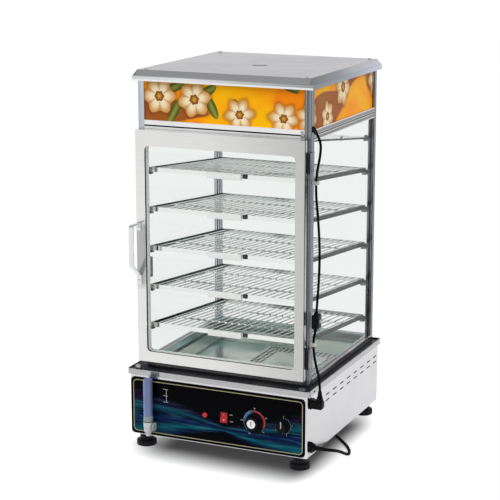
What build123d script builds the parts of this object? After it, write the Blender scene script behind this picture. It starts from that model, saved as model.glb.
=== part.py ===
from build123d import *
from math import cos, pi, radians, tan
import os

# Steamed bun cabinet. Millimetres, +Z up, front towards -Y, resting on Z = 0.

# Driving dimensions: base, rim and feet
BASE_W = 435.0
BASE_D = 460.0
BASE_Y = 7.0
BASE_BOTTOM = 32.0
BASE_H = 141.5
SHEET = 1.5
CORNER_R = 6.0
RIM_PROUD_X = 5.5
RIM_PROUD_Y = 3.0
RIM_H = 12.5
RIM_WALL = 2.0
FOOT_R = 23.0
FOOT_PAD_H = 13.0
FOOT_NECK_R = 15.0
FOOT_INSET = 27.0
STUD_R = 4.0
SLOT_PITCH = 44.6
SLOT_ROW = 13.6
SLOT_LENGTH = 22.0
SLOT_FIRST = 123.0
SLOT_DROP = 27.7
FLOOR_SCREWS_X = (4.0, 87.0, 170.0)
FLOOR_SCREW_INSET = 9.0

# Driving dimensions: pan, cover, lid and tank
PAN_GAP = 2.0
PAN_FLANGE = 6.0
PAN_SHEET = 1.2
PAN_DROP = 13.5
COVER_W = 196.0
COVER_D = 186.0
COVER_H = 9.0
COVER_SIDE_GAP = 9.0
COVER_BACK_SHIFT = 6.0
HOLE_PITCH = 12.0
HOLE_R = 3.0
LID_X = -76.0
LID_R = 42.0
LID_FRONT_SHIFT = 45.0
TANK_H = 60.0
TANK_SIDE_GAP = 13.0
TANK_FRONT_GAP = 15.0
TANK_BACK_GAP = 24.0
ELEMENT_R = 4.5
ELEMENT_HALF_W = 60.0
ELEMENT_RAISE = 12.0
ELEMENT_BEND_R = 40.0

# Driving dimensions: glazed tower
TOWER_SIDE_GAP = 10.5
TOWER_SET_BACK = 39.0
TOWER_REAR_GAP = 13.0
GASKET_T = 8.0
POST = 16.0
PANE = 4.0
SLOT = 5.0
FOOT_RAIL_H = 16.0
SILL_H = 27.0
SILL_D = 14.0
DOORWAY_H = 517.0
HEADER_RAIL_H = 24.0
SIGN_H = 89.0
GROOVE = 4.0

# Driving dimensions: lid and lamp
CAP_PROUD_X = 7.0
CAP_PROUD_Y = 12.0
CAP_DROP = 2.0
CAP_H = 24.0
CAP_FLANGE = 10.0
CAP_BEVEL = 9.0
CAP_SHEET = 1.2
FRAME_GAP = 5.0
FRAME_LEDGE = 22.0
FRAME_T = 3.0
SCREW_INSET = 14.0
SCREW_R = 2.0
SCREW_HEAD_R = 4.5
LAMP_DROP = 50.0
LAMP_TUBE_R = 8.0
LAMP_END_GAP = 23.0
DRIP_FALL = 7.0
DRIP_END_GAP = 1.0
DRIP_T = 4.0

# Driving dimensions: shelves
SHELF_COUNT = 5
SHELF_DROP = 88.0
SHELF_FOOT_GAP = 71.0
SHELF_FALL = 5.5
SHELF_SIDE_GAP = 5.0
SHELF_GAP = 8.0
SHELF_REAR_GAP = 14.0
BAND_T = 2.5
BAND_H = 10.0
WIRE_R = 1.6
WIRE_PITCH = 16.5
GRIP_HALF_W = 41.0
LUG_T = 6.0

# Driving dimensions: door
DOOR_SIDE_GAP = 5.0
DOOR_LAP_LOW = 8.0
DOOR_LAP_HIGH = 5.0
DOOR_DEPTH = 22.0
DOOR_GAP = 2.0
STILE_W = 22.0
RAIL_LOW = 24.0
RAIL_HIGH = 35.0
WINDOW_R = 10.0
GLASS_LAP = 12.0
HINGE_R = 4.0
HINGE_PIN_R = 1.5
HINGE_H = 42.0
HINGE_INSET = 49.0
HANDLE_INSET = 6.0
HANDLE_W = 12.0
HANDLE_T = 2.5
HANDLE_REACH = 38.0
HANDLE_RAISE = 177.0
HANDLE_PAD = 23.0
HANDLE_SLANT = 27.0
HANDLE_GRIP = 94.0
HANDLE_TOP_PAD = 18.0
CATCH_GAP_LOW = 21.5
CATCH_GAP_HIGH = 22.0

# Driving dimensions: controls
PANEL_FOOT_GAP = 2.0
PANEL_TOP_GAP = 5.5
PANEL_SIDE_GAP = 3.5
PANEL_R = 10.0
THERMOSTAT_INSET = 124.5
THERMOSTAT_R = 20.0
THERMOSTAT_DEPTH = 18.0
THERMOSTAT_BODY = (22.0, 20.0, 30.0)
SELECTOR_INSET = 54.5
SELECTOR_R = 15.5
SELECTOR_DEPTH = 16.0
SELECTOR_BODY = (18.0, 18.0, 34.0)
ROCKER_X = 19.0
ROCKER_TILT = 9.0
PIVOT_R = 1.2
LAMP_X = -27.0
SIGHT_INSET = 53.5
SIGHT_R = 11.5
SIGHT_STAND_OFF = 13.5
SIGHT_TOP_GAP = 3.5
TAP_RAISE = 25.0
PIPE_R = 6.0

# Driving dimensions: leads
LEAD_R = 2.75
CORD_R = 3.6
COIL_R = 38.0
COIL_X = 40.0
COIL_Y = 325.0
COIL_TURNS_WIDE = 3
COIL_TURNS_HIGH = 2
COIL_TAIL = 45.0
PLUG_INSET = 23.0
PLUG_DROP = 20.5
PLUG_STAND_OFF = 20.5
GLAND_INSET = 18.0
GLAND_RAISE = 22.0
GLAND_LENGTH = 13.0

# Derived places: base
base_top = BASE_BOTTOM + BASE_H
base_front = BASE_Y - BASE_D / 2
base_back = BASE_Y + BASE_D / 2
base_x = BASE_W / 2
panel_face = base_front - SHEET
panel_h = BASE_H - PANEL_FOOT_GAP - PANEL_TOP_GAP
panel_z = BASE_BOTTOM + PANEL_FOOT_GAP + panel_h / 2
rim_x = base_x + RIM_PROUD_X
rim_front = base_front - RIM_PROUD_Y
rim_back = base_back + RIM_PROUD_Y
rim_top = base_top + RIM_H
tray_floor = base_top + SHEET

# Derived places: tower
tower_front = base_front + TOWER_SET_BACK
tower_back = base_back - TOWER_REAR_GAP
tower_y = (tower_front + tower_back) / 2
tower_x = base_x - TOWER_SIDE_GAP
tower_foot = tray_floor + GASKET_T
foot_rail_top = tower_foot + FOOT_RAIL_H
front_sill_top = tower_foot + SILL_H
header_bottom = front_sill_top + DOORWAY_H
header_rail_top = header_bottom + HEADER_RAIL_H
post_top = header_rail_top + SIGN_H
post_in_x = tower_x - POST
post_in_front = tower_front + POST
post_in_back = tower_back - POST
pane_x = tower_x - POST / 2
pane_y_back = tower_back - POST / 2
pane_y_front = tower_front + 6.0

# Derived places: pan and tank
pan_half_w = post_in_x - PAN_GAP
pan_front = post_in_front - 1.0
pan_back = post_in_back - 7.0
pan_floor = base_top - PAN_DROP
cover_x1 = pan_half_w - COVER_SIDE_GAP
cover_x0 = cover_x1 - COVER_W
cover_y0 = tower_y + COVER_BACK_SHIFT - COVER_D / 2
cover_y1 = cover_y0 + COVER_D
lid_y = tower_y - LID_FRONT_SHIFT
tank_half_w = post_in_x - TANK_SIDE_GAP
tank_front = tower_front + TANK_FRONT_GAP
tank_back = tower_back - TANK_BACK_GAP
tank_bottom = pan_floor - TANK_H
element_z = tank_bottom + ELEMENT_RAISE
pipe_y = tank_front + 14.0

# Derived places: lid and lamp
cap_x = tower_x + CAP_PROUD_X
cap_half_d = (tower_back - tower_front) / 2 + CAP_PROUD_Y
cap_flange_bottom = post_top - CAP_DROP
cap_top = cap_flange_bottom + CAP_H
frame_top = cap_top - CAP_SHEET
frame_x = cap_x - CAP_BEVEL - FRAME_GAP
frame_half_d = cap_half_d - CAP_BEVEL - FRAME_GAP
lamp_z = post_top - LAMP_DROP
lamp_half = post_in_x - LAMP_END_GAP

# Derived places: shelves and drip plate
shelf_half_w = post_in_x - SHELF_SIDE_GAP
shelf_y = tower_front + SHELF_GAP
shelf_back = tower_back - SHELF_REAR_GAP
shelf_run = (shelf_back - shelf_y) / cos(radians(SHELF_FALL))
shelf_pitch = (DOORWAY_H - SHELF_DROP - SHELF_FOOT_GAP) / (SHELF_COUNT - 1)
shelf_fronts = [header_bottom - SHELF_DROP - shelf_pitch * index for index in range(SHELF_COUNT)]
wire_count = int(2 * (shelf_half_w - BAND_T) / WIRE_PITCH)
drip_front = post_in_front + 1.5
drip_front_z = header_bottom - DRIP_T / 2
drip_run = (shelf_back - drip_front) / cos(radians(DRIP_FALL))

# Derived places: door
door_half_w = tower_x - DOOR_SIDE_GAP
door_bottom = front_sill_top - DOOR_LAP_LOW
door_top = header_bottom + DOOR_LAP_HIGH
door_back = tower_front - DOOR_GAP
door_front = door_back - DOOR_DEPTH
window_half_w = door_half_w - STILE_W
window_bottom = door_bottom + RAIL_LOW
window_top = door_top - RAIL_HIGH
hinge_x = tower_x + 1.0
hinge_y = door_front + 5.0
hinge_heights = (door_bottom + HINGE_INSET, door_top - HINGE_INSET)
handle_x = HANDLE_INSET - door_half_w
handle_low = door_bottom + HANDLE_RAISE
catch_low = shelf_fronts[-2] + CATCH_GAP_LOW
catch_high = shelf_fronts[-3] - CATCH_GAP_HIGH

# Derived places: controls
thermostat_x = base_x - THERMOSTAT_INSET
selector_x = base_x - SELECTOR_INSET
sight_x = SIGHT_INSET - base_x
sight_y = panel_face - SIGHT_STAND_OFF
tap_z = BASE_BOTTOM + TAP_RAISE
rocker_y = panel_face + 0.5

# Derived places: leads
grommet_y = tower_front + POST / 2
grommet_z = header_rail_top + 2.0
plug_y = base_front + PLUG_INSET
plug_z = base_top - PLUG_DROP
plug_top = plug_z + 29.0
gland_y = base_front + GLAND_INSET
gland_z = BASE_BOTTOM + GLAND_RAISE
gland_end = base_x + GLAND_LENGTH
cord_z = CORD_R + 0.3

os.makedirs("parts", exist_ok=True)


def save(name, *solids):
    """Write one node, a single solid or a group of separate ones."""
    shape = solids[0] if len(solids) == 1 else Compound(children=list(solids))
    shape.label = name
    export_step(shape, f"parts/{name}.step")


def block(x0, x1, y0, y1, z0, z1):
    """Box between two corners."""
    centre = Pos((x0 + x1) / 2, (y0 + y1) / 2, (z0 + z1) / 2)
    return centre * Box(x1 - x0, y1 - y0, z1 - z0)


def rod(start, direction, radius, length):
    """Cylinder from a point along a direction."""
    plane = Plane(origin=start, z_dir=direction)
    return plane * Cylinder(radius, length, align=(Align.CENTER, Align.CENTER, Align.MIN))


def prism(start, direction, radius, length, sides):
    """Many-sided bar from a point along a direction."""
    plane = Plane(origin=start, z_dir=direction)
    return extrude(plane * RegularPolygon(radius, sides), length)


def rounded_box(half_w, y0, y1, z0, z1, radius):
    """Upright box with rounded vertical edges, centred on X."""
    outline = RectangleRounded(2 * half_w, y1 - y0, radius)
    return Pos(0, (y0 + y1) / 2, z0) * extrude(outline, z1 - z0)


def frame_opening(half_w, y0, y1, z0, z1, radius):
    """Prism along Y with the rounded outline of a front opening."""
    outline = RectangleRounded(2 * half_w, z1 - z0, radius)
    plane = Plane(origin=(0, y1, (z0 + z1) / 2), x_dir=(1, 0, 0), z_dir=(0, -1, 0))
    return extrude(plane * outline, y1 - y0)


def mirror_x(shape):
    """Copy on the other side of the middle plane."""
    return mirror(shape, Plane.YZ)


# Base


def side_slots():
    """Two rows of short louvres in each side wall."""
    slots = []
    first_y = base_front + SLOT_FIRST
    for row in range(2):
        for index in range(int((base_back - first_y) / SLOT_PITCH) + 1):
            y = first_y + SLOT_PITCH * index
            z = base_top - SLOT_DROP - SLOT_ROW * row
            cut = block(base_x - 3, base_x + 1, y - SLOT_LENGTH / 2, y + SLOT_LENGTH / 2, z - 1.5, z + 1.5)
            slots += [cut, mirror_x(cut)]
    return slots


def control_holes(y0, depth):
    """Holes through the front for shafts, lamp, rocker and tap."""
    holes = [rod((x, y0, panel_z), (0, 1, 0), 4.0, depth) for x in (thermostat_x, selector_x)]
    holes.append(rod((LAMP_X, y0, panel_z), (0, 1, 0), 5.0, depth))
    holes.append(rod((sight_x, y0, tap_z), (0, 1, 0), PIPE_R, depth))
    holes.append(block(ROCKER_X - 9, ROCKER_X + 9, y0, y0 + depth, panel_z - 12.5, panel_z + 12.5))
    return holes


def make_base_shell():
    """Folded box, open below, with the pan opening in its top."""
    shell = rounded_box(base_x, base_front, base_back, BASE_BOTTOM, base_top, CORNER_R)
    shell -= rounded_box(base_x - SHEET, base_front + SHEET, base_back - SHEET,
                         BASE_BOTTOM - 1, base_top - SHEET, CORNER_R - SHEET)
    shell -= block(-pan_half_w, pan_half_w, pan_front, pan_back, base_top - 3, base_top + 1)
    shell -= side_slots()
    shell -= control_holes(base_front - 1, 4.0)
    shell -= rod((base_x - 4, gland_y, gland_z), (1, 0, 0), 8.0, 6.0)
    shell -= block(base_x - 4, base_x + 1, plug_y - 9, plug_y + 9, plug_z - 9, plug_z + 9)
    return shell


def make_base_floor():
    """Bottom sheet inside the shell walls."""
    plate = rounded_box(base_x - SHEET, base_front + SHEET, base_back - SHEET,
                        BASE_BOTTOM, BASE_BOTTOM + SHEET, CORNER_R - SHEET)
    for x, y in foot_places():
        plate -= rod((x, y, BASE_BOTTOM - 1), (0, 0, 1), STUD_R, 4.0)
    for x, y in base_screw_places():
        plate -= rod((x, y, BASE_BOTTOM - 1), (0, 0, 1), SCREW_R, 4.0)
    return plate


def foot_places():
    """Centres of the four feet."""
    x = base_x - FOOT_INSET
    y = BASE_D / 2 - FOOT_INSET
    return [(sx * x, BASE_Y + sy * y) for sx in (-1, 1) for sy in (-1, 1)]


def base_screw_places():
    """Screws along the front and rear edges of the floor."""
    rows = (base_front + FLOOR_SCREW_INSET, base_back - FLOOR_SCREW_INSET)
    return [(x, y) for x in FLOOR_SCREWS_X for y in rows]


def make_foot(x, y):
    """Rubber foot with a wide pad, a neck and a stud."""
    foot = rod((x, y, 0), (0, 0, 1), FOOT_R, FOOT_PAD_H)
    foot = chamfer(foot.edges().filter_by(GeomType.CIRCLE), 2.0)
    foot += rod((x, y, FOOT_PAD_H - 1), (0, 0, 1), FOOT_NECK_R, BASE_BOTTOM - FOOT_PAD_H + 1)
    foot += rod((x, y, BASE_BOTTOM - 1), (0, 0, 1), STUD_R, 11.0)
    return foot


def make_control_panel():
    """Printed plate on the front face."""
    outline = RectangleRounded(BASE_W - 2 * PANEL_SIDE_GAP, panel_h, PANEL_R)
    plane = Plane(origin=(0, base_front, panel_z), x_dir=(1, 0, 0), z_dir=(0, -1, 0))
    panel = extrude(plane * outline, SHEET)
    panel -= control_holes(panel_face - 1, 4.0)
    return panel


def pan_head(x, y, z, up):
    """Pan-head screw: head on one side of a sheet, shank through it."""
    head = rod((x, y, z), (0, 0, up), SCREW_HEAD_R, 2.6)
    head = chamfer(head.faces().sort_by(Axis.Z)[-1 if up > 0 else 0].edges(), 1.2)
    return head + rod((x, y, z + up * 0.5), (0, 0, -up), SCREW_R, 5.0)


def make_screws():
    """All pan-head screws of the case: lid corners and floor edges."""
    screws = [pan_head(x, y, cap_top, 1) for x, y in cap_screw_places()]
    screws += [pan_head(x, y, BASE_BOTTOM, -1) for x, y in base_screw_places()]
    return screws


def make_rim_tray():
    """Shallow tray with an upright lip that carries the tower."""
    tray = rounded_box(rim_x, rim_front, rim_back, base_top, rim_top, CORNER_R + RIM_WALL)
    tray -= rounded_box(rim_x - RIM_WALL, rim_front + RIM_WALL, rim_back - RIM_WALL,
                        tray_floor, rim_top + 1, CORNER_R)
    tray -= block(-pan_half_w, pan_half_w, pan_front, pan_back, base_top - 1, tray_floor + 1)
    return tray


def make_rim_gasket():
    """Black rubber bed between the lip and the pan flange."""
    bed = rounded_box(rim_x - RIM_WALL, rim_front + RIM_WALL, rim_back - RIM_WALL,
                      tray_floor, tower_foot, CORNER_R)
    flange = PAN_FLANGE + 1.0
    bed -= block(-pan_half_w - flange, pan_half_w + flange, pan_front - flange, pan_back + flange,
                 tray_floor - 1, tower_foot + 1)
    return bed


# Water and steam


def make_floor_pan():
    """Polished chamber floor: pan with a flange lying on the tray."""
    reach_x = pan_half_w + PAN_FLANGE
    top = tray_floor + PAN_SHEET
    pan = block(-pan_half_w, pan_half_w, pan_front, pan_back, pan_floor, top)
    pan += block(-reach_x, reach_x, pan_front - PAN_FLANGE, pan_back + PAN_FLANGE, tray_floor, top)
    pan -= block(-pan_half_w + PAN_SHEET, pan_half_w - PAN_SHEET, pan_front + PAN_SHEET, pan_back - PAN_SHEET,
                 pan_floor + PAN_SHEET, top + 1)
    pan -= block(cover_x0 + 30, cover_x1 - 30, cover_y0 + 35, cover_y1 - 35,
                 pan_floor - 1, pan_floor + PAN_SHEET + 1)
    pan -= rod((LID_X, lid_y, pan_floor - 1), (0, 0, 1), LID_R - 10.0, PAN_SHEET + 2.0)
    return pan


def make_steam_cover():
    """Inverted plate over the steam opening, with bands of holes."""
    z0 = pan_floor + PAN_SHEET
    cover = block(cover_x0, cover_x1, cover_y0, cover_y1, z0, z0 + COVER_H)
    cover -= block(cover_x0 + 1, cover_x1 - 1, cover_y0 + 1, cover_y1 - 1, z0 - 1, z0 + COVER_H - 1)
    holes = []
    for row in range(2):
        edge = 9.0 + 11.0 * row
        for index in range(11):
            x = cover_x0 + 38 + HOLE_PITCH * index
            holes += [(x, cover_y0 + edge), (x, cover_y1 - edge)]
        for index in range(15):
            y = cover_y0 + 9 + HOLE_PITCH * index
            holes += [(cover_x0 + edge, y), (cover_x1 - edge, y)]
    cover -= [prism((x, y, z0 + COVER_H - 3), (0, 0, 1), HOLE_R, 5.0, 6) for x, y in holes]
    return cover


def make_filler_lid():
    """Round lid over the water inlet, with a low grip."""
    z0 = pan_floor + PAN_SHEET
    lid = rod((LID_X, lid_y, z0), (0, 0, 1), LID_R, 3.0)
    lid += rod((LID_X, lid_y, z0 - 3), (0, 0, 1), LID_R - 11.0, 3.5)
    lid += rod((LID_X, lid_y, z0 + 2), (0, 0, 1), 9.0, 9.0)
    return lid


def make_water_tank():
    """Open tank hung under the pan."""
    tank = block(-tank_half_w, tank_half_w, tank_front, tank_back, tank_bottom, pan_floor)
    tank -= block(-tank_half_w + PAN_SHEET, tank_half_w - PAN_SHEET, tank_front + PAN_SHEET,
                  tank_back - PAN_SHEET, tank_bottom + PAN_SHEET, pan_floor + 1)
    for x in (-ELEMENT_HALF_W, ELEMENT_HALF_W):
        tank -= rod((x, tank_front - 1, element_z), (0, 1, 0), ELEMENT_R, 4.0)
    return tank


def make_heating_element():
    """Hairpin rod heater through the front wall of the tank."""
    front = tank_front - 10.0
    back = tank_back - 50.0
    points = [(-ELEMENT_HALF_W, front, element_z), (-ELEMENT_HALF_W, back, element_z),
              (ELEMENT_HALF_W, back, element_z), (ELEMENT_HALF_W, front, element_z)]
    path = FilletPolyline(*points, radius=ELEMENT_BEND_R)
    section = Plane(origin=path @ 0, z_dir=path % 0) * Circle(ELEMENT_R)
    return sweep(section, path=path)


def make_sight_tube():
    """Clear level tube, standing in the tap body."""
    foot = tap_z + 7.0
    tube = rod((sight_x, sight_y, foot), (0, 0, 1), SIGHT_R - 1, base_top - SIGHT_TOP_GAP - foot)
    return tube - rod((sight_x, sight_y, foot + 3), (0, 0, 1), SIGHT_R - 3.5, BASE_H)


def make_tap_body():
    """Drain tap under the level tube, with its pipe to the tank."""
    tap = rod((sight_x, sight_y, tap_z - 8), (0, 0, 1), SIGHT_R, 22.0)
    tap -= rod((sight_x, sight_y, tap_z + 7), (0, 0, 1), SIGHT_R - 1, 20.0)
    tap += Pos(sight_x, sight_y, tap_z - 14) * Cone(5.5, 9.5, 12.0)
    tap += rod((sight_x, sight_y, tap_z), (0, 1, 0), PIPE_R, pipe_y - sight_y)
    tap += rod((sight_x, pipe_y, tap_z - PIPE_R), (0, 0, 1), PIPE_R, tank_bottom - tap_z + PIPE_R)
    tap -= rod((sight_x + 6, sight_y, tap_z + 2), (1, 0, 0), 4.1, 10.0)
    return tap


def make_tap_lever():
    """Round turning grip on the side of the tap."""
    lever = rod((sight_x + 12, sight_y, tap_z + 2), (1, 0, 0), 10.0, 6.0)
    lever += rod((sight_x + 6, sight_y, tap_z + 2), (1, 0, 0), 4.0, 7.0)
    lever += block(sight_x + 17.5, sight_x + 20, sight_y - 2, sight_y + 2, tap_z - 6, tap_z + 10)
    return lever


# Tower


def make_post(side, rear):
    """Square corner post with slots for the panes."""
    y0 = post_in_back if rear else tower_front
    post = block(post_in_x, tower_x, y0, y0 + POST, tower_foot, post_top)
    outer = post.edges().filter_by(Axis.Z).sort_by(Axis.Y)
    corner = outer[-2:] if rear else outer[:2]
    post = fillet(corner.sort_by(Axis.X)[-1:], 3.0)
    slot_y = y0 - 1 if rear else y0 + POST - SLOT
    post -= block(pane_x - PANE / 2, pane_x + PANE / 2, slot_y, slot_y + SLOT + 1,
                  tower_foot + 8, post_top + 1)
    cross_y = pane_y_back if rear else pane_y_front
    cross_z = tower_foot + 8 if rear else header_rail_top - GROOVE
    post -= block(post_in_x - 1, post_in_x + SLOT, cross_y - PANE / 2, cross_y + PANE / 2,
                  cross_z, post_top + 1)
    if side > 0 and not rear:
        post -= rod((tower_x - 6, grommet_y, grommet_z), (1, 0, 0), 3.5, 8.0)
    return post if side > 0 else mirror_x(post)


def make_foot_rails():
    """Rails round the foot of the tower; the front one is the door sill."""
    sill = block(-post_in_x, post_in_x, tower_front, tower_front + SILL_D, tower_foot, front_sill_top)
    side = block(post_in_x, tower_x, post_in_front, post_in_back, tower_foot, foot_rail_top)
    side -= block(pane_x - PANE / 2, pane_x + PANE / 2, tower_front, tower_back,
                  tower_foot + 8, foot_rail_top + 1)
    back = block(-post_in_x, post_in_x, post_in_back, tower_back, tower_foot, foot_rail_top)
    back -= block(-tower_x, tower_x, pane_y_back - PANE / 2, pane_y_back + PANE / 2,
                  tower_foot + 8, foot_rail_top + 1)
    return [sill, side, mirror_x(side), back]


def make_header_rails():
    """Rails under the light box, grooved for the panes and the signs."""
    mid = (header_bottom + header_rail_top) / 2
    front = block(-post_in_x, post_in_x, tower_front, post_in_front, header_bottom, header_rail_top)
    front -= block(-tower_x, tower_x, pane_y_front - PANE / 2, pane_y_front + PANE / 2,
                   header_rail_top - GROOVE, header_rail_top + 1)
    front -= block(-tower_x, tower_x, tower_front - 1, tower_front + 2, mid - 1.5, mid + 1.5)
    side = block(post_in_x, tower_x, post_in_front, post_in_back, header_bottom, header_rail_top)
    side -= block(tower_x - 1.5, tower_x + 1, tower_front, tower_back, mid - 1, mid + 1)
    back = block(-post_in_x, post_in_x, post_in_back, tower_back, header_bottom, header_rail_top)
    lower = (header_bottom - 1, header_bottom + SLOT)
    upper = (header_rail_top - GROOVE, header_rail_top + 1)
    for low, high in (lower, upper):
        side -= block(pane_x - PANE / 2, pane_x + PANE / 2, tower_front, tower_back, low, high)
        back -= block(-tower_x, tower_x, pane_y_back - PANE / 2, pane_y_back + PANE / 2, low, high)
    return [front, side, mirror_x(side), back]


def upright_panes(z0, z1):
    """Side panes and rear pane between two heights, edges in the slots."""
    side = block(pane_x - PANE / 2, pane_x + PANE / 2, post_in_front - SLOT, post_in_back + SLOT, z0, z1)
    back = block(-post_in_x - SLOT, post_in_x + SLOT, pane_y_back - PANE / 2, pane_y_back + PANE / 2, z0, z1)
    return [side, mirror_x(side), back]


def make_signs():
    """Printed panels of the light box."""
    z0 = header_rail_top - GROOVE
    front = block(-post_in_x - SLOT, post_in_x + SLOT, pane_y_front - PANE / 2, pane_y_front + PANE / 2,
                  z0, post_top)
    return [front] + upright_panes(z0, post_top)


def make_header_frame():
    """Ring on the post tops with an upstand that carries the lid."""
    y0 = tower_y - frame_half_d
    y1 = tower_y + frame_half_d
    ring = block(-tower_x + 2, tower_x - 2, tower_front + 2, tower_back - 2, post_top, post_top + FRAME_T)
    ring += block(-frame_x, frame_x, y0, y1, post_top, frame_top)
    ring -= block(-frame_x + 2, frame_x - 2, y0 + 2, y1 - 2, post_top + FRAME_T, frame_top + 1)
    ring -= block(-frame_x + FRAME_LEDGE, frame_x - FRAME_LEDGE, y0 + FRAME_LEDGE, y1 - FRAME_LEDGE,
                  post_top - 1, post_top + FRAME_T + 1)
    for x, y in cap_screw_places():
        ring += block(x - 9, x + 9, y - 9, y + 9, post_top, frame_top)
        ring -= rod((x, y, frame_top - 5), (0, 0, 1), SCREW_R, 6.0)
    return ring


def cap_screw_places():
    """Screws near the corners of the lid's flat top."""
    x = cap_x - CAP_BEVEL - SCREW_INSET
    y = cap_half_d - CAP_BEVEL - SCREW_INSET
    return [(sx * x, tower_y + sy * y) for sx in (-1, 1) for sy in (-1, 1)]


def cap_body(inset, top):
    """Flange and bevelled top of the lid, shrunk by the sheet thickness."""
    shoulder = cap_flange_bottom + CAP_FLANGE
    width = 2 * (cap_x - inset)
    depth = 2 * (cap_half_d - inset)
    slope = 2 * CAP_BEVEL * (top - shoulder) / (cap_top - shoulder)
    body = Pos(0, tower_y, cap_flange_bottom) * extrude(Rectangle(width, depth), CAP_FLANGE)
    lower = Pos(0, tower_y, shoulder) * Rectangle(width, depth)
    upper = Pos(0, tower_y, top) * Rectangle(width - slope, depth - slope)
    return body + loft([lower, upper])


def make_top_cap():
    """Folded sheet lid."""
    cap = cap_body(0.0, cap_top) - cap_body(CAP_SHEET, frame_top)
    return cap - [rod((x, y, frame_top - 1), (0, 0, 1), SCREW_R, 4.0) for x, y in cap_screw_places()]


def make_lamp_tube():
    """Tube lamp across the light box."""
    return rod((-lamp_half, tower_y, lamp_z), (1, 0, 0), LAMP_TUBE_R, 2 * lamp_half)


def make_lamp_holder(side):
    """Holder hanging from the header ring at one end of the lamp."""
    holder = block(lamp_half, lamp_half + 14, tower_y - 12, tower_y + 12, lamp_z - 12, post_top)
    return holder if side > 0 else mirror_x(holder)


# Shelves

def on_slope(shape, y, z, fall):
    """Place a shape built at the origin on a plane falling to the rear."""
    return Location((0, y, z), (-fall, 0, 0)) * shape


def make_shelf():
    """Welded grille: flat band all round, wires front to back, two ties."""
    half_h = BAND_H / 2
    grille = block(-shelf_half_w, shelf_half_w, 0, shelf_run, -half_h, half_h)
    grille -= block(-shelf_half_w + BAND_T, shelf_half_w - BAND_T, BAND_T, shelf_run - BAND_T,
                    -half_h - 1, half_h + 1)
    wire_z = half_h - WIRE_R - 0.8
    bars = []
    for index in range(wire_count):
        x = WIRE_PITCH * (index - (wire_count - 1) / 2)
        bars.append(prism((x, BAND_T / 2, wire_z), (0, 1, 0), WIRE_R, shelf_run - BAND_T, 8))
    tie_length = 2 * shelf_half_w - BAND_T
    for share in (0.3, 0.7):
        start = (-tie_length / 2, shelf_run * share, wire_z - 2 * WIRE_R + 0.6)
        bars.append(prism(start, (1, 0, 0), WIRE_R, tie_length, 8))
    return grille + bars


def make_shelf_brackets(y0, z0, fall, top, run, band):
    """Four lugs on the posts under one sloping shelf, the rear ones with a stop."""
    lugs = []
    front = block(post_in_x - 10, post_in_x, 1.5, 13, top - LUG_T, top)
    rear = block(post_in_x - 10, post_in_x, run - 13, run + 3.2, top - LUG_T, top)
    rear += block(post_in_x - 10, post_in_x, run, run + 3.2, top - 1, top + band)
    for lug in (front, rear):
        lugs += [on_slope(lug, y0, z0, fall), on_slope(mirror_x(lug), y0, z0, fall)]
    return lugs


def make_shelf_grip():
    """White sleeve on the middle of a shelf's front band."""
    grip = block(-GRIP_HALF_W, GRIP_HALF_W, -2.2, 0, -9, 5.5)
    grip += block(-GRIP_HALF_W, GRIP_HALF_W, -0.1, 6, -7.2, -BAND_H / 2)
    return grip


def make_drip_plate():
    """Sloping ceiling sheet that leads drips to the rear."""
    half_w = post_in_x - DRIP_END_GAP
    plate = block(-half_w, half_w, 0, drip_run, -DRIP_T / 2, DRIP_T / 2)
    return on_slope(plate, drip_front, drip_front_z, DRIP_FALL)


def make_drip_lugs():
    """Front lugs reach back from the posts, rear lugs have a stop."""
    top = -DRIP_T / 2
    front = block(post_in_x - 8, post_in_x, -12, 12, top - LUG_T, top)
    rear = block(post_in_x - 8, post_in_x, drip_run - 12, drip_run + 3, top - LUG_T, top)
    rear += block(post_in_x - 8, post_in_x, drip_run, drip_run + 3, top - 1, DRIP_T)
    lugs = []
    for lug in (front, rear):
        lugs += [on_slope(lug, drip_front, drip_front_z, DRIP_FALL),
                 on_slope(mirror_x(lug), drip_front, drip_front_z, DRIP_FALL)]
    return lugs


# Door


def make_door_frame():
    """One folded plate with a rounded window."""
    frame = block(-door_half_w, door_half_w, door_front, door_back, door_bottom, door_top)
    frame -= block(-door_half_w + SHEET, door_half_w - SHEET, door_front + SHEET, door_back + 1,
                   door_bottom + SHEET, door_top - SHEET)
    frame -= frame_opening(window_half_w, door_front - 1, door_back, window_bottom, window_top, WINDOW_R)
    return frame


def make_door_glass():
    """Pane behind the plate, overlapping the window all round."""
    y0 = door_front + SHEET
    return block(-window_half_w - GLASS_LAP, window_half_w + GLASS_LAP, y0, y0 + PANE,
                 window_bottom - GLASS_LAP, window_top + GLASS_LAP)


def make_door_gasket():
    """Rubber profile holding the pane, with a flat sealing face behind."""
    y0 = door_front + SHEET + PANE
    wall = 8.0
    step = 1.0
    seal = frame_opening(window_half_w + step + wall, y0, door_back,
                         window_bottom - step - wall, window_top + step + wall, WINDOW_R + wall)
    seal += block(-door_half_w, door_half_w, door_back, tower_front, door_bottom, door_top - 1)
    seal -= frame_opening(window_half_w + step, y0 - 1, tower_front + 1,
                          window_bottom - step, window_top + step, WINDOW_R)
    return seal


def make_door_handle():
    """Folded strap: level top leg, flat grip, slanting lower leg."""
    face = door_front
    grip = face - HANDLE_REACH
    pad = face - HANDLE_T
    bend = handle_low + HANDLE_PAD
    grip_low = bend + HANDLE_SLANT
    top = grip_low + HANDLE_GRIP
    points = [(face, top), (grip, top), (grip, grip_low), (pad, bend), (pad, handle_low),
              (face, handle_low), (face, bend + 1.5), (grip + HANDLE_T, grip_low + 1.5),
              (grip + HANDLE_T, top - HANDLE_T), (pad, top - HANDLE_T), (pad, top - HANDLE_TOP_PAD),
              (face, top - HANDLE_TOP_PAD)]
    outline = Polyline(*[(y, z) for y, z in points], close=True)
    plane = Plane(origin=(handle_x - HANDLE_W / 2, 0, 0), x_dir=(0, 1, 0), z_dir=(1, 0, 0))
    return extrude(plane * make_face(outline), HANDLE_W)


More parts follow.
